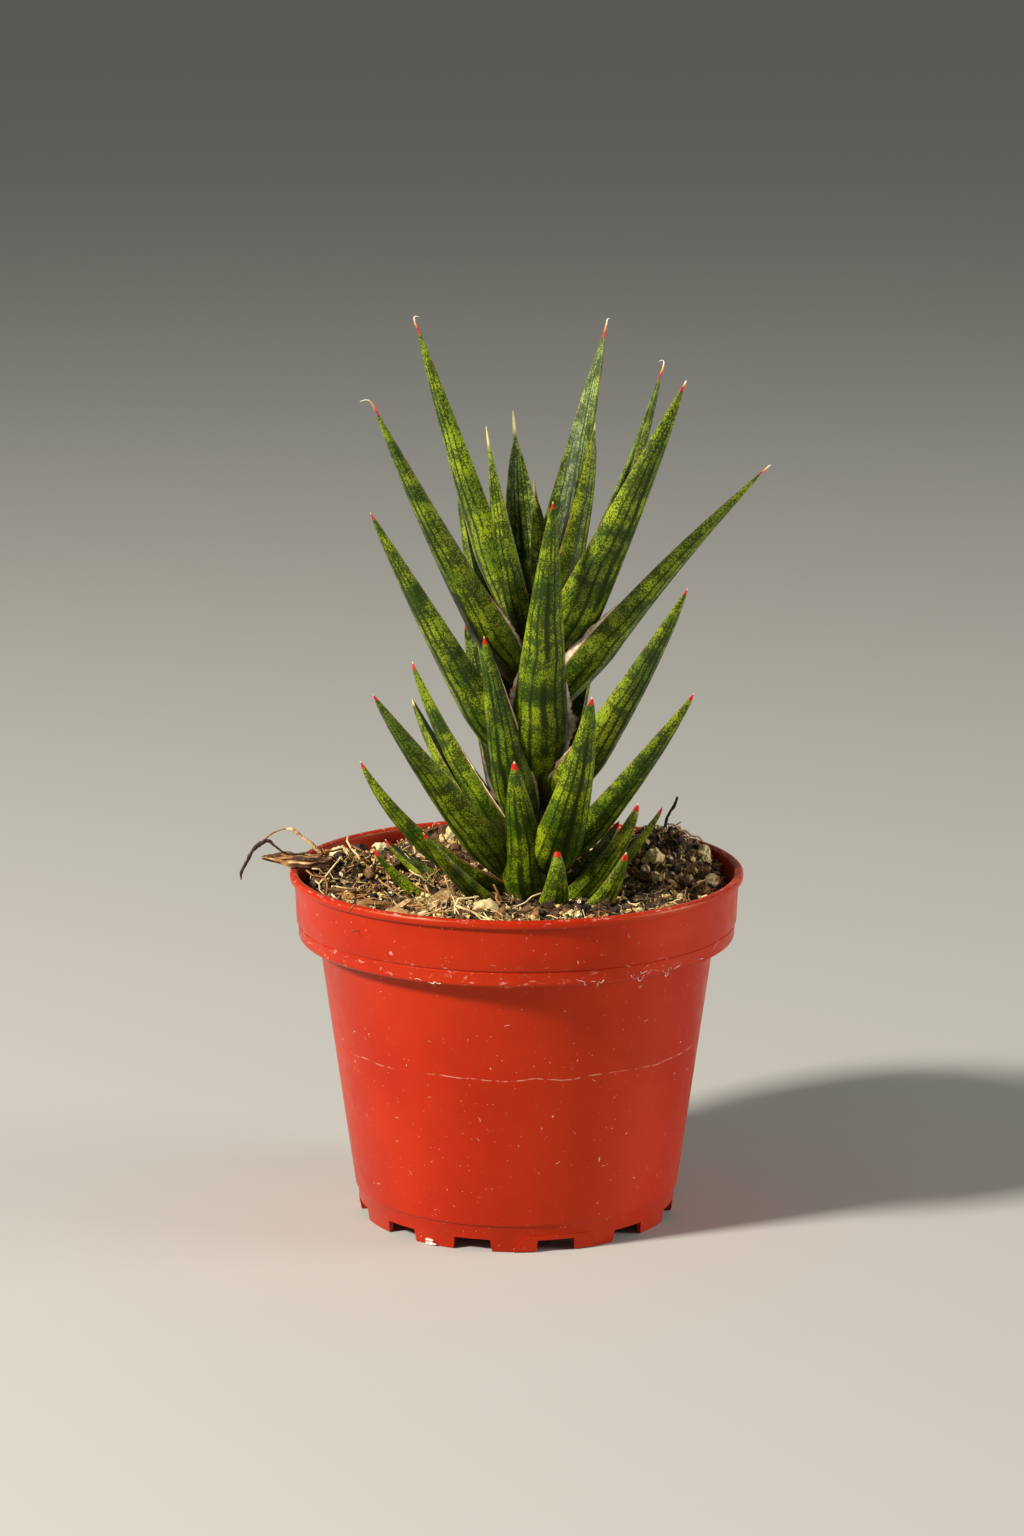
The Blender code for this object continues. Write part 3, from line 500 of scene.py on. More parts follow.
def crumb_master(subdivisions, seed, rough):
    """A crumb of unit radius, knobbly all round."""
    bpy.ops.object.select_all(action="DESELECT")
    bpy.ops.mesh.primitive_ico_sphere_add(subdivisions=subdivisions, radius=1)
    crumb = bpy.context.object
    for vertex in crumb.data.vertices:
        vertex.co *= 1 + rough * noise.noise(vertex.co * 1.6 + Vector((seed * 7.3, seed, 0)))
    bpy.ops.object.shade_smooth_by_angle(angle=math.radians(35))
    return crumb


def fibre_master(bends, thickness, knots=6):
    """A thread of unit length along X, with a sideways bend at each knot."""
    bpy.ops.object.select_all(action="DESELECT")
    bpy.ops.mesh.primitive_circle_add(vertices=4, radius=thickness, rotation=(0, math.pi / 2, 0))
    fibre = bpy.context.object
    bpy.ops.object.transform_apply()
    bpy.ops.object.mode_set(mode="EDIT")
    bpy.ops.mesh.select_all(action="SELECT")
    bpy.ops.mesh.edge_face_add()
    for knot in range(knots):
        step = (1 / knots, bends[knot % len(bends)] / knots, bends[(knot + 2) % len(bends)] / knots / 2)
        bpy.ops.mesh.extrude_region_move(TRANSFORM_OT_translate={"value": step})
    bpy.ops.mesh.select_all(action="SELECT")
    bpy.ops.mesh.normals_make_consistent(inside=False)
    bpy.ops.object.mode_set(mode="OBJECT")
    fibre.data.transform(Matrix.Translation((-0.5, 0, 0)))
    bpy.ops.object.shade_smooth()
    return fibre


def splinter_master(seed):
    """A flat splinter of unit length along X, split and uneven at its ends."""
    bpy.ops.object.select_all(action="DESELECT")
    bpy.ops.mesh.primitive_cube_add(size=1)
    splinter = bpy.context.object
    bpy.ops.object.mode_set(mode="EDIT")
    bpy.ops.mesh.select_all(action="SELECT")
    bpy.ops.mesh.subdivide(number_cuts=2)
    bpy.ops.object.mode_set(mode="OBJECT")
    for vertex in splinter.data.vertices:
        shift = noise.noise_vector(vertex.co * 1.9 + Vector((seed * 3.1, 0, seed)))
        narrow = 1 - 0.6 * abs(2 * vertex.co.x) ** 2
        vertex.co.y *= narrow
        vertex.co += Vector((0.12 * shift.x, 0.30 * shift.y, 0.30 * shift.z))
    bpy.ops.object.shade_smooth_by_angle(angle=math.radians(30))
    return splinter


def loose_material(name, dark, middle, pale, grain_scale):
    """A dry or damp bit of the mix: its shade picks from dark to pale, with grain over it."""
    made, tree, shader = new_material(name)
    place = add(tree, "ShaderNodeTexCoord").outputs["Object"]
    shade = add(tree, "ShaderNodeAttribute", attribute_name="shade").outputs["Fac"]
    speckle = grain(tree, place, grain_scale, 3.0, 0.65)
    shade = sum_of(tree, "ADD", shade, sum_of(tree, "MULTIPLY", sum_of(tree, "SUBTRACT", speckle, 0.5), 0.7))
    colour = blend(tree, between(tree, shade, 0.0, 0.5), dark, middle)
    colour = blend(tree, between(tree, shade, 0.5, 1.0), colour, pale)
    rough = between(tree, speckle, 0.3, 0.7, 0.7, 0.95)
    bump = add(tree, "ShaderNodeBump", {"Strength": 0.7, "Distance": 0.0004, "Height": speckle}).outputs[0]
    set_shader(tree, shader, {"Base Color": colour, "Roughness": rough, "Normal": bump})
    return made


crumb_stuff = loose_material(
    "peat_crumbs", (0.006, 0.003, 0.0014, 1), (0.15, 0.068, 0.017, 1), (0.80, 0.58, 0.22, 1), 1500.0
)
fibre_stuff = loose_material(
    "coir_fibre", (0.030, 0.010, 0.0035, 1), (0.36, 0.165, 0.046, 1), (0.85, 0.63, 0.30, 1), 1100.0
)
perlite_stuff = loose_material(
    "perlite_grain", (0.30, 0.20, 0.07, 1), (0.66, 0.52, 0.25, 1), (0.88, 0.80, 0.58, 1), 1300.0
)
round_crumbs = [crumb_master(2, seed, 0.75) for seed in (1, 2, 3)]
small_crumbs = [crumb_master(1, seed, 0.9) for seed in (4, 5, 6)]
uneven = [(0.7, 1.3), (0.6, 1.1), (0.5, 0.95)]


def in_drifts(x, y):
    """Light grit gathers in drifts and leaves the hollows between them dark."""
    return noise.noise(Vector((x, y, 17)) / 4.6) > 0.07


spots = ground_spots(640, (0.6, 2.0), uneven, 0.15, (0.02, 0.1, 0.2, 0.35, 0.55))
strew("soil_crumbs", round_crumbs, spots, crumb_stuff)
spots = ground_spots(1100, (0.24, 0.85), uneven, 0.5, (0.0, 0.05, 0.15, 0.3))
spots += ground_spots(1600, (0.22, 0.95), uneven, 0.6, (0.5, 0.8, 0.95, 1.0, 1.05), in_drifts)
strew("soil_grit", small_crumbs, spots, crumb_stuff)
spots = ground_spots(170, (0.5, 1.5), uneven, 0.3, (0.3, 0.6, 0.9))
strew("perlite_bits", round_crumbs, spots, perlite_stuff)
fibres = [
    fibre_master((0.3, -0.1, 0.5, -0.4), 0.016),
    fibre_master((-0.5, -0.6, 0.2, 0.7), 0.018),
    fibre_master((0.9, 0.2, -0.8, -0.3), 0.02),
]
long_thin = [(0.8, 1.2), (0.6, 1.4), (0.6, 1.4)]
spots = ground_spots(560, (3.5, 13), long_thin, 0.06, (0.1, 0.3, 0.5, 0.7, 0.9), flat=0.7)
spots += ground_spots(320, (4, 16), long_thin, 0.08, (0.4, 0.6, 0.8, 1.0), lambda x, y: x < 2 and y < 24, flat=0.8)
strew("coir_fibres", fibres, spots, fibre_stuff)
short_thick = [(0.7, 1.3), (2.0, 3.6), (2.0, 3.6)]
spots = ground_spots(1100, (0.9, 2.6), short_thick, 0.35, (0.3, 0.75, 0.95, 1.05), in_drifts)
spots += ground_spots(260, (0.9, 2.4), short_thick, 0.9, (0.7, 0.9, 1.0), lambda x, y: math.hypot(x + 18, y + 30) < 9)
spots += ground_spots(240, (0.9, 2.4), short_thick, 0.5, (0.5, 0.8, 1.0), lambda x, y: math.hypot(x - 40, y - 8) < 15)
strew("root_hairs", fibres, spots, fibre_stuff)
splinters = [splinter_master(seed) for seed in (1, 2, 3, 4)]
flat_bits = [(0.7, 1.2), (0.16, 0.34), (0.07, 0.14)]
spots = ground_spots(260, (2.5, 8.5), flat_bits, 0.06, (0.1, 0.25, 0.45, 0.7), flat=0.75)
strew("bark_shreds", splinters, spots, fibre_stuff)
for master in round_crumbs + small_crumbs + fibres + splinters:
    bpy.data.objects.remove(master)


def roughen(node, name, cuts, coarse, fine, material, smooth=40):
    """A lump or splinter of the mix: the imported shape, cut finer and broken up all over."""
    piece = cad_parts[node].copy()
    piece.data = piece.data.copy()
    piece.name = piece.data.name = name
    bpy.context.scene.collection.objects.link(piece)
    bpy.ops.object.select_all(action="DESELECT")
    piece.select_set(True)
    bpy.context.view_layer.objects.active = piece
    bpy.ops.object.mode_set(mode="EDIT")
    bpy.ops.mesh.select_all(action="SELECT")
    bpy.ops.mesh.remove_doubles(threshold=0.00001)
    bpy.ops.mesh.subdivide(number_cuts=cuts)
    bpy.ops.mesh.normals_make_consistent(inside=False)
    bpy.ops.object.mode_set(mode="OBJECT")
    normals = [vertex.normal.copy() for vertex in piece.data.vertices]
    for vertex, normal in zip(piece.data.vertices, normals):
        broad = noise.noise(vertex.co / (2.4 * MM)) * coarse
        small = noise.fractal(vertex.co / (0.9 * MM), 0.9, 2.0, 3, noise_basis="PERLIN_ORIGINAL") * fine
        vertex.co += normal * (broad + small) * MM
    bpy.ops.object.shade_smooth_by_angle(angle=math.radians(smooth))
    tint = piece.data.attributes.new("shade", "FLOAT", "POINT")
    shade = 0.35 + 0.3 * chance.random()
    tint.data.foreach_set("value", [shade] * len(piece.data.vertices))
    piece.data.materials.clear()
    piece.data.materials.append(material)
    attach(piece, "root")
    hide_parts(node)
    return piece


for number in range(1, 10):
    roughen(f"perlite_0{number}", f"perlite_lump_{number}", 4, 0.7, 0.5, perlite_stuff)
roughen("soil_clump", "fibrous_clump", 5, 1.2, 1.0, crumb_stuff)
for number in (1, 2, 3):
    roughen(f"bark_0{number}", f"bark_splinter_{number}", 5, 0.5, 0.3, fibre_stuff, 30)


# ---- The stem ----
# The short upright stem that the leaves spring from, green-brown and ringed by old leaf scars. Its
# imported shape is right, so it stays, with a woody skin that shows in the gaps between the leaves.
bark_skin, tree, shader = new_material("scarred_green_stem")
place = add(tree, "ShaderNodeTexCoord").outputs["Object"]
scars = grain(tree, stretched(tree, place, (0.008, 0.008, 0.0012)), 1.0, 3.0, 0.6)
colour = blend(tree, between(tree, scars, 0.4, 0.6), (0.055, 0.060, 0.014, 1), (0.17, 0.10, 0.045, 1))
rough = between(tree, scars, 0.3, 0.7, 0.6, 0.85)
bump = add(tree, "ShaderNodeBump", {"Strength": 0.6, "Distance": 0.0006, "Height": scars}).outputs[0]
set_shader(tree, shader, {"Base Color": colour, "Roughness": rough, "Normal": bump})
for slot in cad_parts["stem"].material_slots:
    slot.material = bark_skin


# ---- The leaves ----
# Thick, stiff leaves in a spiral up the stem: round outside, channelled inside, with a wide clasping
# base and a hard point. Each grows from the stem's side, so one shape is bent and sized to all.
LEAF_SIDES = 32
LEAF_RINGS = 60
LEAVES = [
    # number, azimuth, height of the base, lean at the base and at the tip, length, width
    (1, 16, 80.0, 15, 95, 31, 10),
    (2, 46, 77.0, 20, 66, 39, 11),
    (3, -42, 81.0, 27, 49, 47.5, 9),
    (4, -80, 76.0, 18, 48, 45, 12),
    (5, -110, 79.0, 17, 37, 41.5, 11),
    (6, -12, 85.5, 58, 72, 46, 12.5),
    (7, 56, 84.5, 30, 66, 41.5, 11),
    (8, 84, 82.0, 34, 56, 41, 9),
    (9, -68, 89.0, 22, 59, 58, 12),
    (10, 118, 83.0, 37, 52, 29, 9),
    (11, -48, 93.5, 44, 50, 73.5, 15),
    (12, 22, 93.0, 42, 73, 64, 14),
    (13, 60, 97.0, 45, 52, 64, 14),
    (14, -28, 106.5, 61, 73, 58, 11.5),
    (15, -88, 104.0, 54, 64, 52.5, 13.5),
    (16, -98, 96.5, 51.2, 62.2, 49.8, 12),
    (17, 50, 112.5, 49, 57, 76.5, 14),
    (18, 8, 116.5, 64, 76, 84.5, 15),
    (19, -54, 123.0, 54, 58, 84, 14),
    (20, 62, 139.0, 52.4, 40.4, 89.3, 15),
    (21, -115, 132.5, 74, 74, 65, 13),
    (22, -44, 145.5, 51, 58, 92, 12.8),
    (23, 40, 148.5, 52, 59, 95, 15),
    (24, 118, 140.5, 62, 64, 55, 13),
    (25, -70, 161.0, 69.7, 69.7, 81.8, 13),
    (26, 98, 154.5, 61, 73, 76, 12),
    (27, 144, 164.0, 65, 70, 74.5, 11),
    (28, 84, 166.5, 70, 79, 47, 13.5),
    (29, -45, 156.5, 73, 79, 57.5, 9),
    (30, -165, 167.0, 66, 71, 48.5, 12),
    (31, 45, 164.0, 94, 98, 33, 8.5),
    (32, 170, 97.0, 46, 60, 58, 13),
    (33, -150, 105.0, 52, 62, 58, 13),
    (34, 150, 118.0, 52, 66, 60, 13),
    (35, -170, 126.0, 54, 64, 54, 13),
    (36, 176, 138.0, 58, 72, 50, 12),
]
NEEDLES = {28: 0.05, 29: 0.12, 30: 0.16, 31: 0.14}
PALE_TIPS = (24, 28, 29, 30, 31, 16)


def stem_radius(height):
    share = min(max((height - 62) / 104, 0), 1)
    return 5.5 - 2.5 * share


def leaf_width(share, length):
    """Width along a leaf as a share of its widest: a clasping neck, the belly, then the taper."""
    neck = 0.70 + 0.30 * math.sin(min(share / 0.24, 1) * math.pi / 2)
    taper = 1 - max(share - 0.24, 0) / 0.76
    slimness = min(max((length - 40) / 40, 0), 1)
    return neck * taper ** (0.6 + 0.13 * slimness)


def leaf_line(row):
    """Places along a leaf's midrib: (centre, along, inward) for each ring, before its azimuth."""
    number, azimuth, base, lean, tip_lean, length, width = row
    centre = Vector((0, -stem_radius(base) - 0.3, base))
    line = []
    for ring in range(LEAF_RINGS + 1):
        angle = math.radians(lean + (tip_lean - lean) * ring / LEAF_RINGS)
        along = Vector((0, -math.cos(angle), math.sin(angle)))
        inward = Vector((0, math.sin(angle), math.cos(angle)))
        line.append((centre.copy(), along, inward))
        angle = math.radians(lean + (tip_lean - lean) * (ring + 0.5) / LEAF_RINGS)
        centre += Vector((0, -math.cos(angle), math.sin(angle))) * length / LEAF_RINGS
    return line


def leaf_spot(row, line, share, across, depth):
    """A point in the row's frame: a share along, then millimetres across and out from the midrib."""
    step = min(max(share, 0), 1) * LEAF_RINGS
    low = min(int(step), LEAF_RINGS - 1)
    centre, along, inward = (line[low][i].lerp(line[low + 1][i], step - low) for i in range(3))
    sway = 0.8 * math.sin(row[0] * 2.4) * math.sin(share * math.pi) * row[5] / 80
    twist = math.radians(9 * math.sin(row[0] * 5.1)) * share
    side = Vector((math.cos(twist), 0, 0)) + inward * math.sin(twist)
    inward = inward * math.cos(twist) - Vector((math.sin(twist), 0, 0))
    local = centre + Vector((sway, 0, 0)) + side * across + inward * depth
    turned = Matrix.Rotation(math.radians(row[1]), 3, "Z") @ local
    return (turned + Vector((STEM_X, STEM_Y, 0))) * MM


def leaf_half(row, share):
    needle = NEEDLES.get(row[0], 0)
    blade = row[6] * leaf_width(min(share / (1 - needle), 1), row[5])
    spine = 0.28 + 0.9 * (1 - share) / needle if needle else 0.5
    closing = max((share - 0.975) / 0.025, 0)
    return max(blade, spine) / 2 * (1 - 0.6 * closing)


bpy.ops.object.select_all(action="DESELECT")
bpy.ops.mesh.primitive_circle_add(vertices=LEAF_SIDES, radius=1, rotation=(math.pi / 2, 0, 0))
blank = bpy.context.object
bpy.ops.object.transform_apply()
bpy.ops.object.mode_set(mode="EDIT")
bpy.ops.mesh.select_all(action="SELECT")
bpy.ops.mesh.edge_face_add()
for ring in range(LEAF_RINGS):
    bpy.ops.mesh.extrude_region_move(TRANSFORM_OT_translate={"value": (0, -1, 0)})
bpy.ops.object.mode_set(mode="OBJECT")

flesh, tree, shader = new_material("mottled_green_leaf")
place = add(tree, "ShaderNodeTexCoord").outputs["Object"]
on_leaf = add(tree, "ShaderNodeAttribute", attribute_name="leaf_place").outputs["Vector"]
across, along, face = add(tree, "ShaderNodeSeparateXYZ", {0: on_leaf}).outputs
size = add(tree, "ShaderNodeAttribute", attribute_name="leaf_size").outputs["Vector"]
half, to_tip, seed = add(tree, "ShaderNodeSeparateXYZ", {0: size}).outputs
ends = add(tree, "ShaderNodeAttribute", attribute_name="leaf_tip").outputs["Vector"]
red_end, cream_end, paleness_and_painted_light = add(tree, "ShaderNodeSeparateXYZ", {0: ends}).outputs
off_rib = sum_of(tree, "ABSOLUTE", across)
inner = between(tree, face, 1.0, 1.12)
own = add(tree, "ShaderNodeCombineXYZ", {0: across, 1: along, 2: sum_of(tree, "MULTIPLY", seed, 7.7)})
bands = grain(tree, stretched(tree, own.outputs[0], (1.1, 4.4, 1)), 1.0, 3.0, 0.55)
bands = between(tree, bands, 0.44, 0.62)
blotch = between(tree, grain(tree, place, 210.0, 3.0, 0.6), 0.40, 0.62)
wave = grain(tree, stretched(tree, own.outputs[0], (50, 16, 1)), 1.0, 1.0)
shift = sum_of(tree, "MULTIPLY", sum_of(tree, "SUBTRACT", wave, 0.5), 0.30)
ribs = add(tree, "ShaderNodeValToRGB", {0: sum_of(tree, "MULTIPLY_ADD", sum_of(tree, "ADD", across, shift), 0.5, 0.5)})
stops = ribs.color_ramp.elements
stops[0].position, stops[1].position = 0.0, 1.0
stops[0].color = stops[1].color = (0, 0, 0, 1)
for centre, reach, depth in ((0.20, 0.022, 0.6), (0.34, 0.022, 0.85), (0.505, 0.042, 1.0), (0.66, 0.022, 0.85), (0.80, 0.022, 0.6)):
    for offset, value in ((-reach * 1.3, 0), (-reach * 0.5, depth), (reach * 0.5, depth), (reach * 1.3, 0)):
        stop = stops.new(centre + offset)
        stop.color = (value, value, value, 1)
patchy = between(tree, grain(tree, stretched(tree, own.outputs[0], (0.6, 14, 1)), 1.0, 3.0), 0.30, 0.50)
lines = sum_of(tree, "MULTIPLY", ribs.outputs[0], patchy)
lines = sum_of(tree, "MULTIPLY", lines, between(tree, to_tip, 3.0, 16.0))
darkness = sum_of(tree, "ADD", sum_of(tree, "MULTIPLY", bands, 0.50), sum_of(tree, "MULTIPLY", blotch, 0.38))
darkness = sum_of(tree, "ADD", darkness, sum_of(tree, "MULTIPLY", lines, 0.75))
limit = sum_of(tree, "MULTIPLY_ADD", darkness, -0.21, 0.556)
speckle = grain(tree, place, 2100.0, 3.0, 0.65)
spotted = between(tree, speckle, sum_of(tree, "SUBTRACT", limit, 0.07), sum_of(tree, "ADD", limit, 0.07))
bright = between(tree, grain(tree, place, 95.0, 2.0), 0.38, 0.62)
light = blend(tree, bright, (0.070, 0.125, 0.002, 1), (0.245, 0.315, 0.007, 1))
silver = blend(tree, bands, (0.19, 0.255, 0.065, 1), (0.040, 0.080, 0.006, 1))
light = blend(tree, sum_of(tree, "MULTIPLY", inner, 0.7), light, silver)
# Each leaf is blended towards a pale yellow-green by its own share; on leaf 16 that share is painted light, making the
# leaf as bright as a lit one.
light = blend(tree, paleness_and_painted_light, light, (0.34, 0.42, 0.035, 1))
colour = blend(tree, sum_of(tree, "MULTIPLY", spotted, 0.86), light, (0.008, 0.022, 0.0006, 1))
colour = blend(tree, sum_of(tree, "MULTIPLY", lines, 0.72), colour, (0.006, 0.016, 0.001, 1))
edge = sum_of(tree, "MULTIPLY", sum_of(tree, "SUBTRACT", 1.0, off_rib), half)
rim = between(tree, edge, 0.08, 0.34, 0.85, 0)
husk = between(tree, grain(tree, stretched(tree, own.outputs[0], (1, 5, 1)), 1.0, 2.0), 0.42, 0.58)
rim_colour = blend(tree, husk, (0.17, 0.20, 0.03, 1), (0.42, 0.19, 0.07, 1))
near_base = between(tree, along, 4.0, 26.0, 1, 0.25)
colour = blend(tree, sum_of(tree, "MULTIPLY", rim, near_base), colour, rim_colour)
colour = blend(tree, between(tree, along, 1.0, 9.0, 0.75, 0), colour, (0.075, 0.055, 0.018, 1))
ragged = sum_of(tree, "MULTIPLY_ADD", speckle, 1.6, sum_of(tree, "SUBTRACT", to_tip, 0.8))
red = between(tree, ragged, sum_of(tree, "MULTIPLY", red_end, 0.8), sum_of(tree, "ADD", red_end, 0.4), 1, 0)
colour = blend(tree, red, colour, (0.50, 0.014, 0.006, 1))
cream = between(tree, to_tip, sum_of(tree, "MULTIPLY", cream_end, 0.5), cream_end, 1, 0)
colour = blend(tree, cream, colour, (0.74, 0.60, 0.26, 1))
ridges = grain(tree, stretched(tree, own.outputs[0], (0.05, 30, 1)), 1.0, 2.0)
relief = sum_of(tree, "MULTIPLY_ADD", ridges, 0.9, sum_of(tree, "MULTIPLY", speckle, 0.55))
bump = add(tree, "ShaderNodeBump", {"Strength": 0.30, "Distance": 0.0004, "Height": relief}).outputs[0]
rough = between(tree, grain(tree, place, 420.0, 3.0), 0.3, 0.7, 0.38, 0.56)
set_shader(tree, shader, {"Base Color": colour, "Roughness": rough, "Normal": bump, "Specular IOR Level": 0.2})

leaf_pieces = []
for row in LEAVES:
    number, azimuth, base, lean, tip_lean, length, width = row
    line = leaf_line(row)
    leaf = blank.copy()
    leaf.data = blank.data.copy()
    leaf.name = leaf.data.name = f"leaf_blade_{number:02d}"
    bpy.context.scene.collection.objects.link(leaf)
    on_leaf, size, ends = [], [], []
    for vertex in leaf.data.vertices:
        share = min(max(-vertex.co.y / LEAF_RINGS, 0), 1)
        side = round(math.atan2(vertex.co.z, vertex.co.x) / math.tau * LEAF_SIDES) % LEAF_SIDES
        half_width = leaf_half(row, share)
        turn = math.tau * side / LEAF_SIDES
        if side <= LEAF_SIDES // 2:
            over = math.cos(turn)
            swell = 1 + 0.02 * noise.noise(Vector((over * 2, share * 9, number)))
            depth = -half_width * 0.92 * math.sin(turn) ** 0.8 * swell
            across = 1 - 2 * turn / math.pi
            face = abs(across)
        else:
            over = across = math.cos(turn)
            gutter = (0.34 * (1 - share) ** 2 + 0.26) * math.sin(min(share * 1.15 + 0.14, 1) * math.pi) ** 0.6
            depth = -half_width * 2 * gutter * 0.62 * (1 - abs(over) ** 2.2)
            face = 2 - abs(over)
        vertex.co = leaf_spot(row, line, share, half_width * over, depth)
        on_leaf += [across, share * length, face]
        size += [half_width, (1 - share) * length, number]
        cream_end = max(length * NEEDLES.get(number, 0), 2.2) if number in PALE_TIPS else 0.7
        # Per-leaf paleness worked out from the leaf's number, with values given one by one for leaves 31, 16 and 21;
        # leaf 16's value is painted light.
        paleness_and_painted_light = {31: 0.75, 16: 0.35, 21: 0.2}.get(number, max(number - 14, 0) / 110 + 0.05 * (number % 3))
        ends += [0.0 if number in PALE_TIPS else 2.0, cream_end, paleness_and_painted_light]
    for name, values in (("leaf_place", on_leaf), ("leaf_size", size), ("leaf_tip", ends)):
        leaf.data.attributes.new(name, "FLOAT_VECTOR", "POINT").data.foreach_set("vector", values)
    leaf.data.materials.clear()
    leaf.data.materials.append(flesh)
    leaf_pieces.append(leaf)
bpy.data.objects.remove(blank)
bpy.ops.object.select_all(action="DESELECT")
for leaf in leaf_pieces:
    leaf.select_set(True)
bpy.context.view_layer.objects.active = leaf_pieces[0]
bpy.ops.object.mode_set(mode="EDIT")
bpy.ops.mesh.select_all(action="SELECT")
bpy.ops.mesh.normals_make_consistent(inside=False)
bpy.ops.object.mode_set(mode="OBJECT")
bpy.ops.object.shade_smooth_by_angle(angle=math.radians(48))
for row, leaf in zip(LEAVES, leaf_pieces):
    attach(leaf, "root")
    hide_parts(f"leaf_{row[0]:02d}")


# ---- Dry margins and points ----
# Where a leaf has torn or dried at its edge, a thin papery strip stands off the margin, cream to
# tan with a red-brown rim. The upper leaves end in a fine dry point, some of them hooked.
paper, tree, shader = new_material("dry_papery_edge")
place = add(tree, "ShaderNodeTexCoord").outputs["Object"]
out = add(tree, "ShaderNodeAttribute", attribute_name="shade").outputs["Fac"]
streak = grain(tree, place, 700.0, 3.0, 0.6)
colour = blend(tree, between(tree, streak, 0.44, 0.66), (0.92, 0.80, 0.60, 1), (0.62, 0.40, 0.20, 1))
colour = blend(tree, between(tree, out, 0.72, 0.95, 0, 0.8), colour, (0.34, 0.10, 0.045, 1))
colour = blend(tree, between(tree, out, 0.0, 0.22, 0.7, 0), colour, (0.38, 0.12, 0.05, 1))
bump = add(tree, "ShaderNodeBump", {"Strength": 0.5, "Distance": 0.0003, "Height": streak}).outputs[0]
rough = between(tree, streak, 0.3, 0.7, 0.65, 0.85)
set_shader(tree, shader, {"Base Color": colour, "Roughness": rough, "Normal": bump})
STRIPS = [
    # leaf, side, start, end, width, standing angle
    (20, -1, 0.10, 0.42, 2.6, 80),
    (22, 1, 0.10, 0.34, 1.2, 40),
    (18, -1, 0.14, 0.44, 3.0, 15),
    (18, 1, 0.10, 0.40, 2.8, 15),
    (23, -1, 0.13, 0.24, 1.8, 40),
    (14, 1, 0.05, 0.92, 1.1, 25),
    (17, -1, 0.02, 0.32, 1.2, 45),
    (15, 1, 0.05, 0.55, 1.0, 30),
    (11, 1, 0.03, 0.24, 1.0, 30),
    (12, -1, 0.02, 0.20, 0.9, 30),
    (9, 1, 0.05, 0.35, 0.9, 35),
    (21, 1, 0.05, 0.45, 0.9, 35),
    (24, -1, 0.05, 0.35, 0.9, 60),
    (27, -1, 0.10, 0.55, 0.7, 30),
    (33, 1, 0.10, 0.40, 1.8, 20),
    (35, -1, 0.10, 0.35, 2.0, 20),
]
rows = {row[0]: row for row in LEAVES}
for index, (number, side, start, end, width, stand) in enumerate(STRIPS):
    bpy.ops.object.select_all(action="DESELECT")
    bpy.ops.mesh.primitive_grid_add(x_subdivisions=40, y_subdivisions=4, size=2)
    strip = bpy.context.object
    strip.name = strip.data.name = f"papery_margin_{index + 1:02d}"
    row = rows[number]
    line = leaf_line(row)
    shades = []
    for vertex in strip.data.vertices:
        run = (vertex.co.x + 1) / 2
        out = (vertex.co.y + 1) / 2
        share = start + (end - start) * run
        torn = 0.75 + 0.5 * noise.noise(Vector((run * 9, index, 0))) + 0.3 * noise.noise(Vector((run * 31, index, 5)))
        swell = min(run / 0.12, 1) * min((1 - run) / 0.5, 1) ** 0.9 + 0.02
        reach = width * out * max(torn, 0.12) * swell
        curl = math.radians(stand + 40 * out * noise.noise(Vector((run * 3, index, 9))))
        half_width = leaf_half(row, share) - 0.15
        across = side * (half_width + reach * math.cos(curl))
        vertex.co = leaf_spot(row, line, share, across, reach * math.sin(curl))
        shades.append(out)
    tint = strip.data.attributes.new("shade", "FLOAT", "POINT")
    tint.data.foreach_set("value", shades)
    thick = strip.modifiers.new("thickness", "SOLIDIFY")
    thick.thickness = 0.16 * MM
    thick.offset = 0
    bpy.ops.object.modifier_apply(modifier="thickness")
    bpy.ops.object.shade_smooth_by_angle(angle=math.radians(50))
    strip.data.materials.clear()
    strip.data.materials.append(paper)
    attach(strip, "root")


def shade_along(piece, start, end):
    """Gives each point a shade from 0 at one end to 1 at the other."""
    start, way = Vector(start) * MM, (Vector(end) - Vector(start)) * MM
    shades = [
        min(max((vertex.co - start).dot(way) / way.length_squared, 0), 1) for vertex in piece.data.vertices
    ]
    piece.data.attributes.new("shade", "FLOAT", "POINT").data.foreach_set("value", shades)


point_skin, tree, shader = new_material("dry_leaf_point")
place = add(tree, "ShaderNodeTexCoord").outputs["Object"]
out = add(tree, "ShaderNodeAttribute", attribute_name="shade").outputs["Fac"]
streak = grain(tree, place, 1500.0, 2.0)
out = sum_of(tree, "MULTIPLY_ADD", sum_of(tree, "SUBTRACT", streak, 0.5), 0.3, out)
colour = blend(tree, between(tree, out, 0.05, 0.45), (0.62, 0.075, 0.015, 1), (0.80, 0.33, 0.10, 1))
colour = blend(tree, between(tree, out, 0.4, 0.85), colour, (0.88, 0.78, 0.60, 1))
rough = between(tree, streak, 0.3, 0.7, 0.5, 0.7)
set_shader(tree, shader, {"Base Color": colour, "Roughness": rough})
HOOKS = [
    # leaf, reach of the point, then sideways and inward bend of its end
    (25, 3.0, 1.6, 0.0),
    (22, 3.0, -2.6, 0.5),
    (26, 3.2, -1.6, 0.6),
    (27, 3.4, 0.6, 0.8),
    (20, 2.2, 0.3, 0.3),
    (23, 1.2, 0.2, 0.1),
]
hooks = []
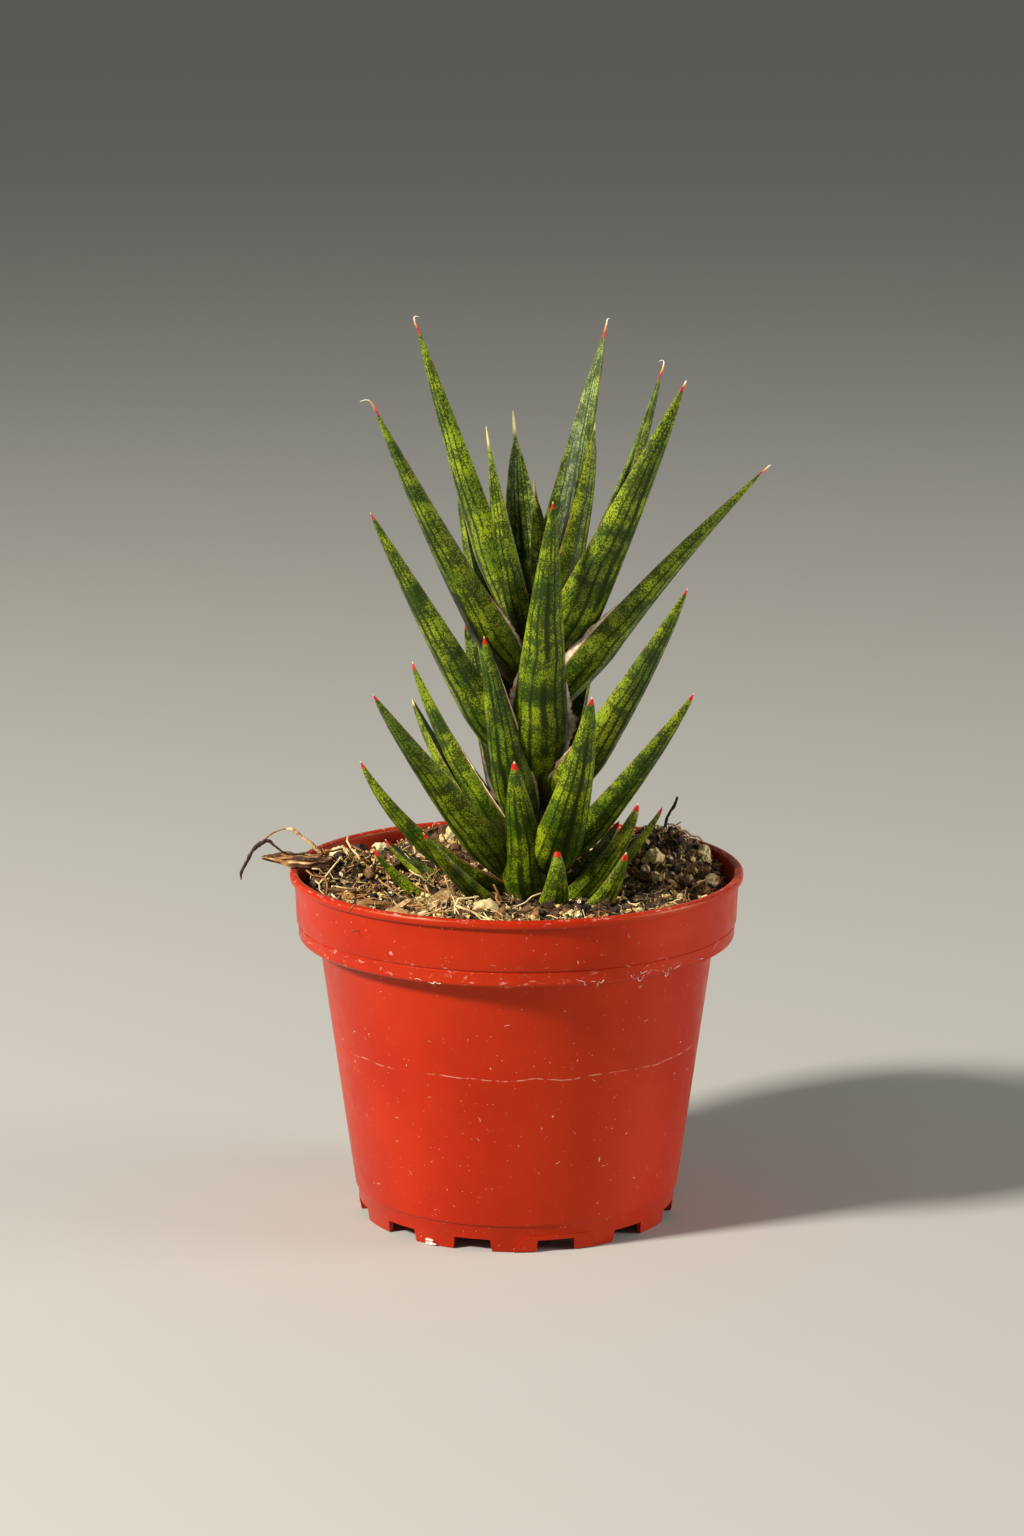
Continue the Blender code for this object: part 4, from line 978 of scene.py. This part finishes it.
for number, reach, sideways, inwards in HOOKS:
    row = rows[number]
    line = leaf_line(row)
    tip = leaf_spot(row, line, 1, 0, -0.2) / MM
    before = leaf_spot(row, line, 0.97, 0, -0.2) / MM
    along = (tip - before).normalized()
    side = Vector((1, 0, 0))
    up = Vector((0, 0, 1))
    points = [tip - along * 0.8, tip + along * reach * 0.5]
    points.append(tip + along * reach * 0.85 + side * sideways * 0.25 + up * inwards * 0.2)
    points.append(tip + along * reach * 0.9 + side * sideways - up * abs(sideways) * 0.12)
    hook = thread(f"dry_point_{number}", points, (0.30, 0.20, 0.13, 0.06), 2)
    shade_along(hook, points[0], points[-1])
    hooks.append(hook)
bpy.ops.object.select_all(action="DESELECT")
for hook in hooks:
    hook.select_set(True)
bpy.context.view_layer.objects.active = hooks[0]
bpy.ops.object.join()
points_piece = bpy.context.object
points_piece.name = points_piece.data.name = "dry_leaf_points"
points_piece.data.materials.clear()
points_piece.data.materials.append(point_skin)
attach(points_piece, "root")

spike_row = rows[25]
spike_line = leaf_line(spike_row)
spike = [
    leaf_spot(spike_row, spike_line, share, leaf_half(spike_row, share) + out, 0.4) / MM
    for share, out in ((0.0, 0.0), (0.08, 0.3), (0.17, 0.2), (0.25, -0.2))
]
spike_piece = thread("dry_margin_thread", spike, (0.2, 0.24, 0.26, 0.16), 2)
shade_along(spike_piece, spike[0], spike[-1])
spike_piece.data.materials.clear()
spike_piece.data.materials.append(point_skin)
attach(spike_piece, "root")


# ---- Chip, roots and twig ----
# A brown chip of bark lies out over the lip at the left, with a dark curled root and a pale one by
# it, and a thin twig stands in the heap at the right. They are bits of the mix, left as they fell.
chip = roughen("bark_chip_rim", "bark_chip_on_lip", 9, 0.5, 0.5, fibre_stuff, 25)
chip_low, chip_high = (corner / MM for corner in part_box("bark_chip_rim"))
chip_middle = (chip_low + chip_high) / 2
for vertex in chip.data.vertices:
    spot = vertex.co / MM
    run = (spot.x - chip_low.x) / (chip_high.x - chip_low.x)
    split = noise.noise(Vector((spot.x / 9, spot.y / 0.9, spot.z / 0.8)))
    narrow = 0.30 + 0.85 * min(max(run, 0) / 0.35, 1) - 0.35 * max(run - 0.85, 0) / 0.15
    spot.y = chip_middle.y + (spot.y - chip_middle.y) * narrow + 0.5 * split
    spot.z = chip_middle.z + (spot.z - chip_middle.z) * narrow + 0.6 * split + 1.3 * (1 - run) ** 2
    spot.x += 2.6 * split * abs(2 * run - 1) ** 2
    vertex.co = spot * MM
tint = chip.data.attributes["shade"].data
tint.foreach_set("value", [
    0.07 + 1.15 * max(noise.noise(Vector((v.co.x / 0.005, v.co.y / 0.0007, v.co.z / 0.0007))), 0) ** 0.7
    for v in chip.data.vertices
])
rest = chip_high.z + 0.85
curl = [(-56, 0, rest), (-61, 0, rest + 0.2), (-64, 0, rest + 2.2), (-65.5, 0, rest + 3.5)]
curl += [(-67.5, -0.5, rest + 3.0), (-69, -1, rest + 2), (-71.5, -2, rest - 2), (-72.6, -2, rest - 4.2)]
curl += [(-73, -2, rest - 6.5)]
dark_root = thread("curled_dark_root", curl, (0.25, 0.3, 0.3, 0.42, 0.6, 0.5, 0.42, 0.4, 0.16))
low, high = (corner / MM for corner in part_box("fine_root_rim"))
rise = high.z - low.z
sprig = [(-50.5, 7, low.z), (-51.3, 6.8, low.z + 0.28 * rise), (-54, 6.5, low.z + 0.55 * rise)]
sprig += [(-57.5, 6.2, low.z + 0.80 * rise), (-59.5, 6, low.z + 0.93 * rise), (-61.5, 6, high.z - 0.5)]
pale_root = thread("fine_pale_root", sprig, (0.6, 0.5, 0.62, 0.42, 0.5, 0.2))
sprig_2 = [(-61.3, 6, high.z - 0.5), (-64, 5, high.z - 1.2), (-66.5, 4, high.z - 2.6), (-68.2, 3, high.z - 5)]
root_end = thread("fine_root_end", sprig_2, (0.2, 0.22, 0.2, 0.12))
low, high = (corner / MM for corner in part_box("twig"))
stalk = [(40, 25, low.z), (40.5, 25, low.z + 5), (41.6, 25, low.z + 7.6), (42.5, 25, low.z + 9), (43.5, 25, high.z)]
twig = thread("thin_twig", stalk, (0.45, 0.4, 0.38, 0.45, 0.3))
cord_kinds = [
    (dark_root, "curled_root_rim", "dark_root", 0.02),
    (pale_root, "fine_root_rim", "pale_root", 0.85),
    (root_end, None, "pale_root", 0.35),
    (twig, "twig", "dark_root", 0.0),
]
for piece, node, slot_name, shade in cord_kinds:
    for vertex in piece.data.vertices:
        vertex.co += noise.noise_vector(vertex.co / (1.1 * MM)) * 0.22 * MM
    tint = piece.data.attributes.new("shade", "FLOAT", "POINT")
    tint.data.foreach_set("value", [shade] * len(piece.data.vertices))
    piece.data.materials.clear()
    piece.data.materials.append(fibre_stuff)
    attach(piece, "root")
    if node:
        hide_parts(node)


# ---- The studio ----
# A plain pale floor, one large soft light from the front left, and a weaker one from the right.
bpy.ops.object.select_all(action="DESELECT")
bpy.ops.mesh.primitive_plane_add(size=40)
floor = bpy.context.object
floor.name = "studio_floor"
matt, tree, shader = new_material("pale_floor")
set_shader(tree, shader, {"Base Color": (0.46, 0.45, 0.42, 1), "Roughness": 0.85})
floor.data.materials.append(matt)

world = bpy.data.worlds.new("studio_air")
world.use_nodes = True
world.node_tree.nodes["Background"].inputs["Color"].default_value = (0.80, 0.84, 0.80, 1)
world.node_tree.nodes["Background"].inputs["Strength"].default_value = 0.23
bpy.context.scene.world = world
LIGHTS = [
    # name, place, aim, width, power, colour
    ("key_light", (-1.42, -0.80, 1.15), (0, 0, 0.12), 0.26, 70, (1.0, 0.95, 0.86)),
    ("fill_light", (1.75, -0.22, 0.42), (0, 0, 0.08), 0.9, 25, (1.0, 0.97, 0.92)),
]
for name, spot, aim, width, power, colour in LIGHTS:
    lamp = bpy.data.lights.new(name, "AREA")
    lamp.size = width
    lamp.energy = power
    lamp.color = colour
    lamp_object = bpy.data.objects.new(name, lamp)
    lamp_object.location = spot
    lamp_object.rotation_euler = (Vector(aim) - Vector(spot)).to_track_quat("-Z", "Y").to_euler()
    bpy.context.scene.collection.objects.link(lamp_object)

lens = bpy.data.cameras.new("camera")
lens.lens = 100
lens.sensor_fit = "VERTICAL"
lens.sensor_height = 36
lens.clip_end = 100
camera = bpy.data.objects.new("camera", lens)
camera.location = (-0.0012, -1.100, 0.352)
camera.rotation_euler = (math.radians(90 - 11.92), 0, 0)
bpy.context.scene.collection.objects.link(camera)
bpy.context.scene.camera = camera
bpy.context.scene.view_settings.view_transform = "Standard"
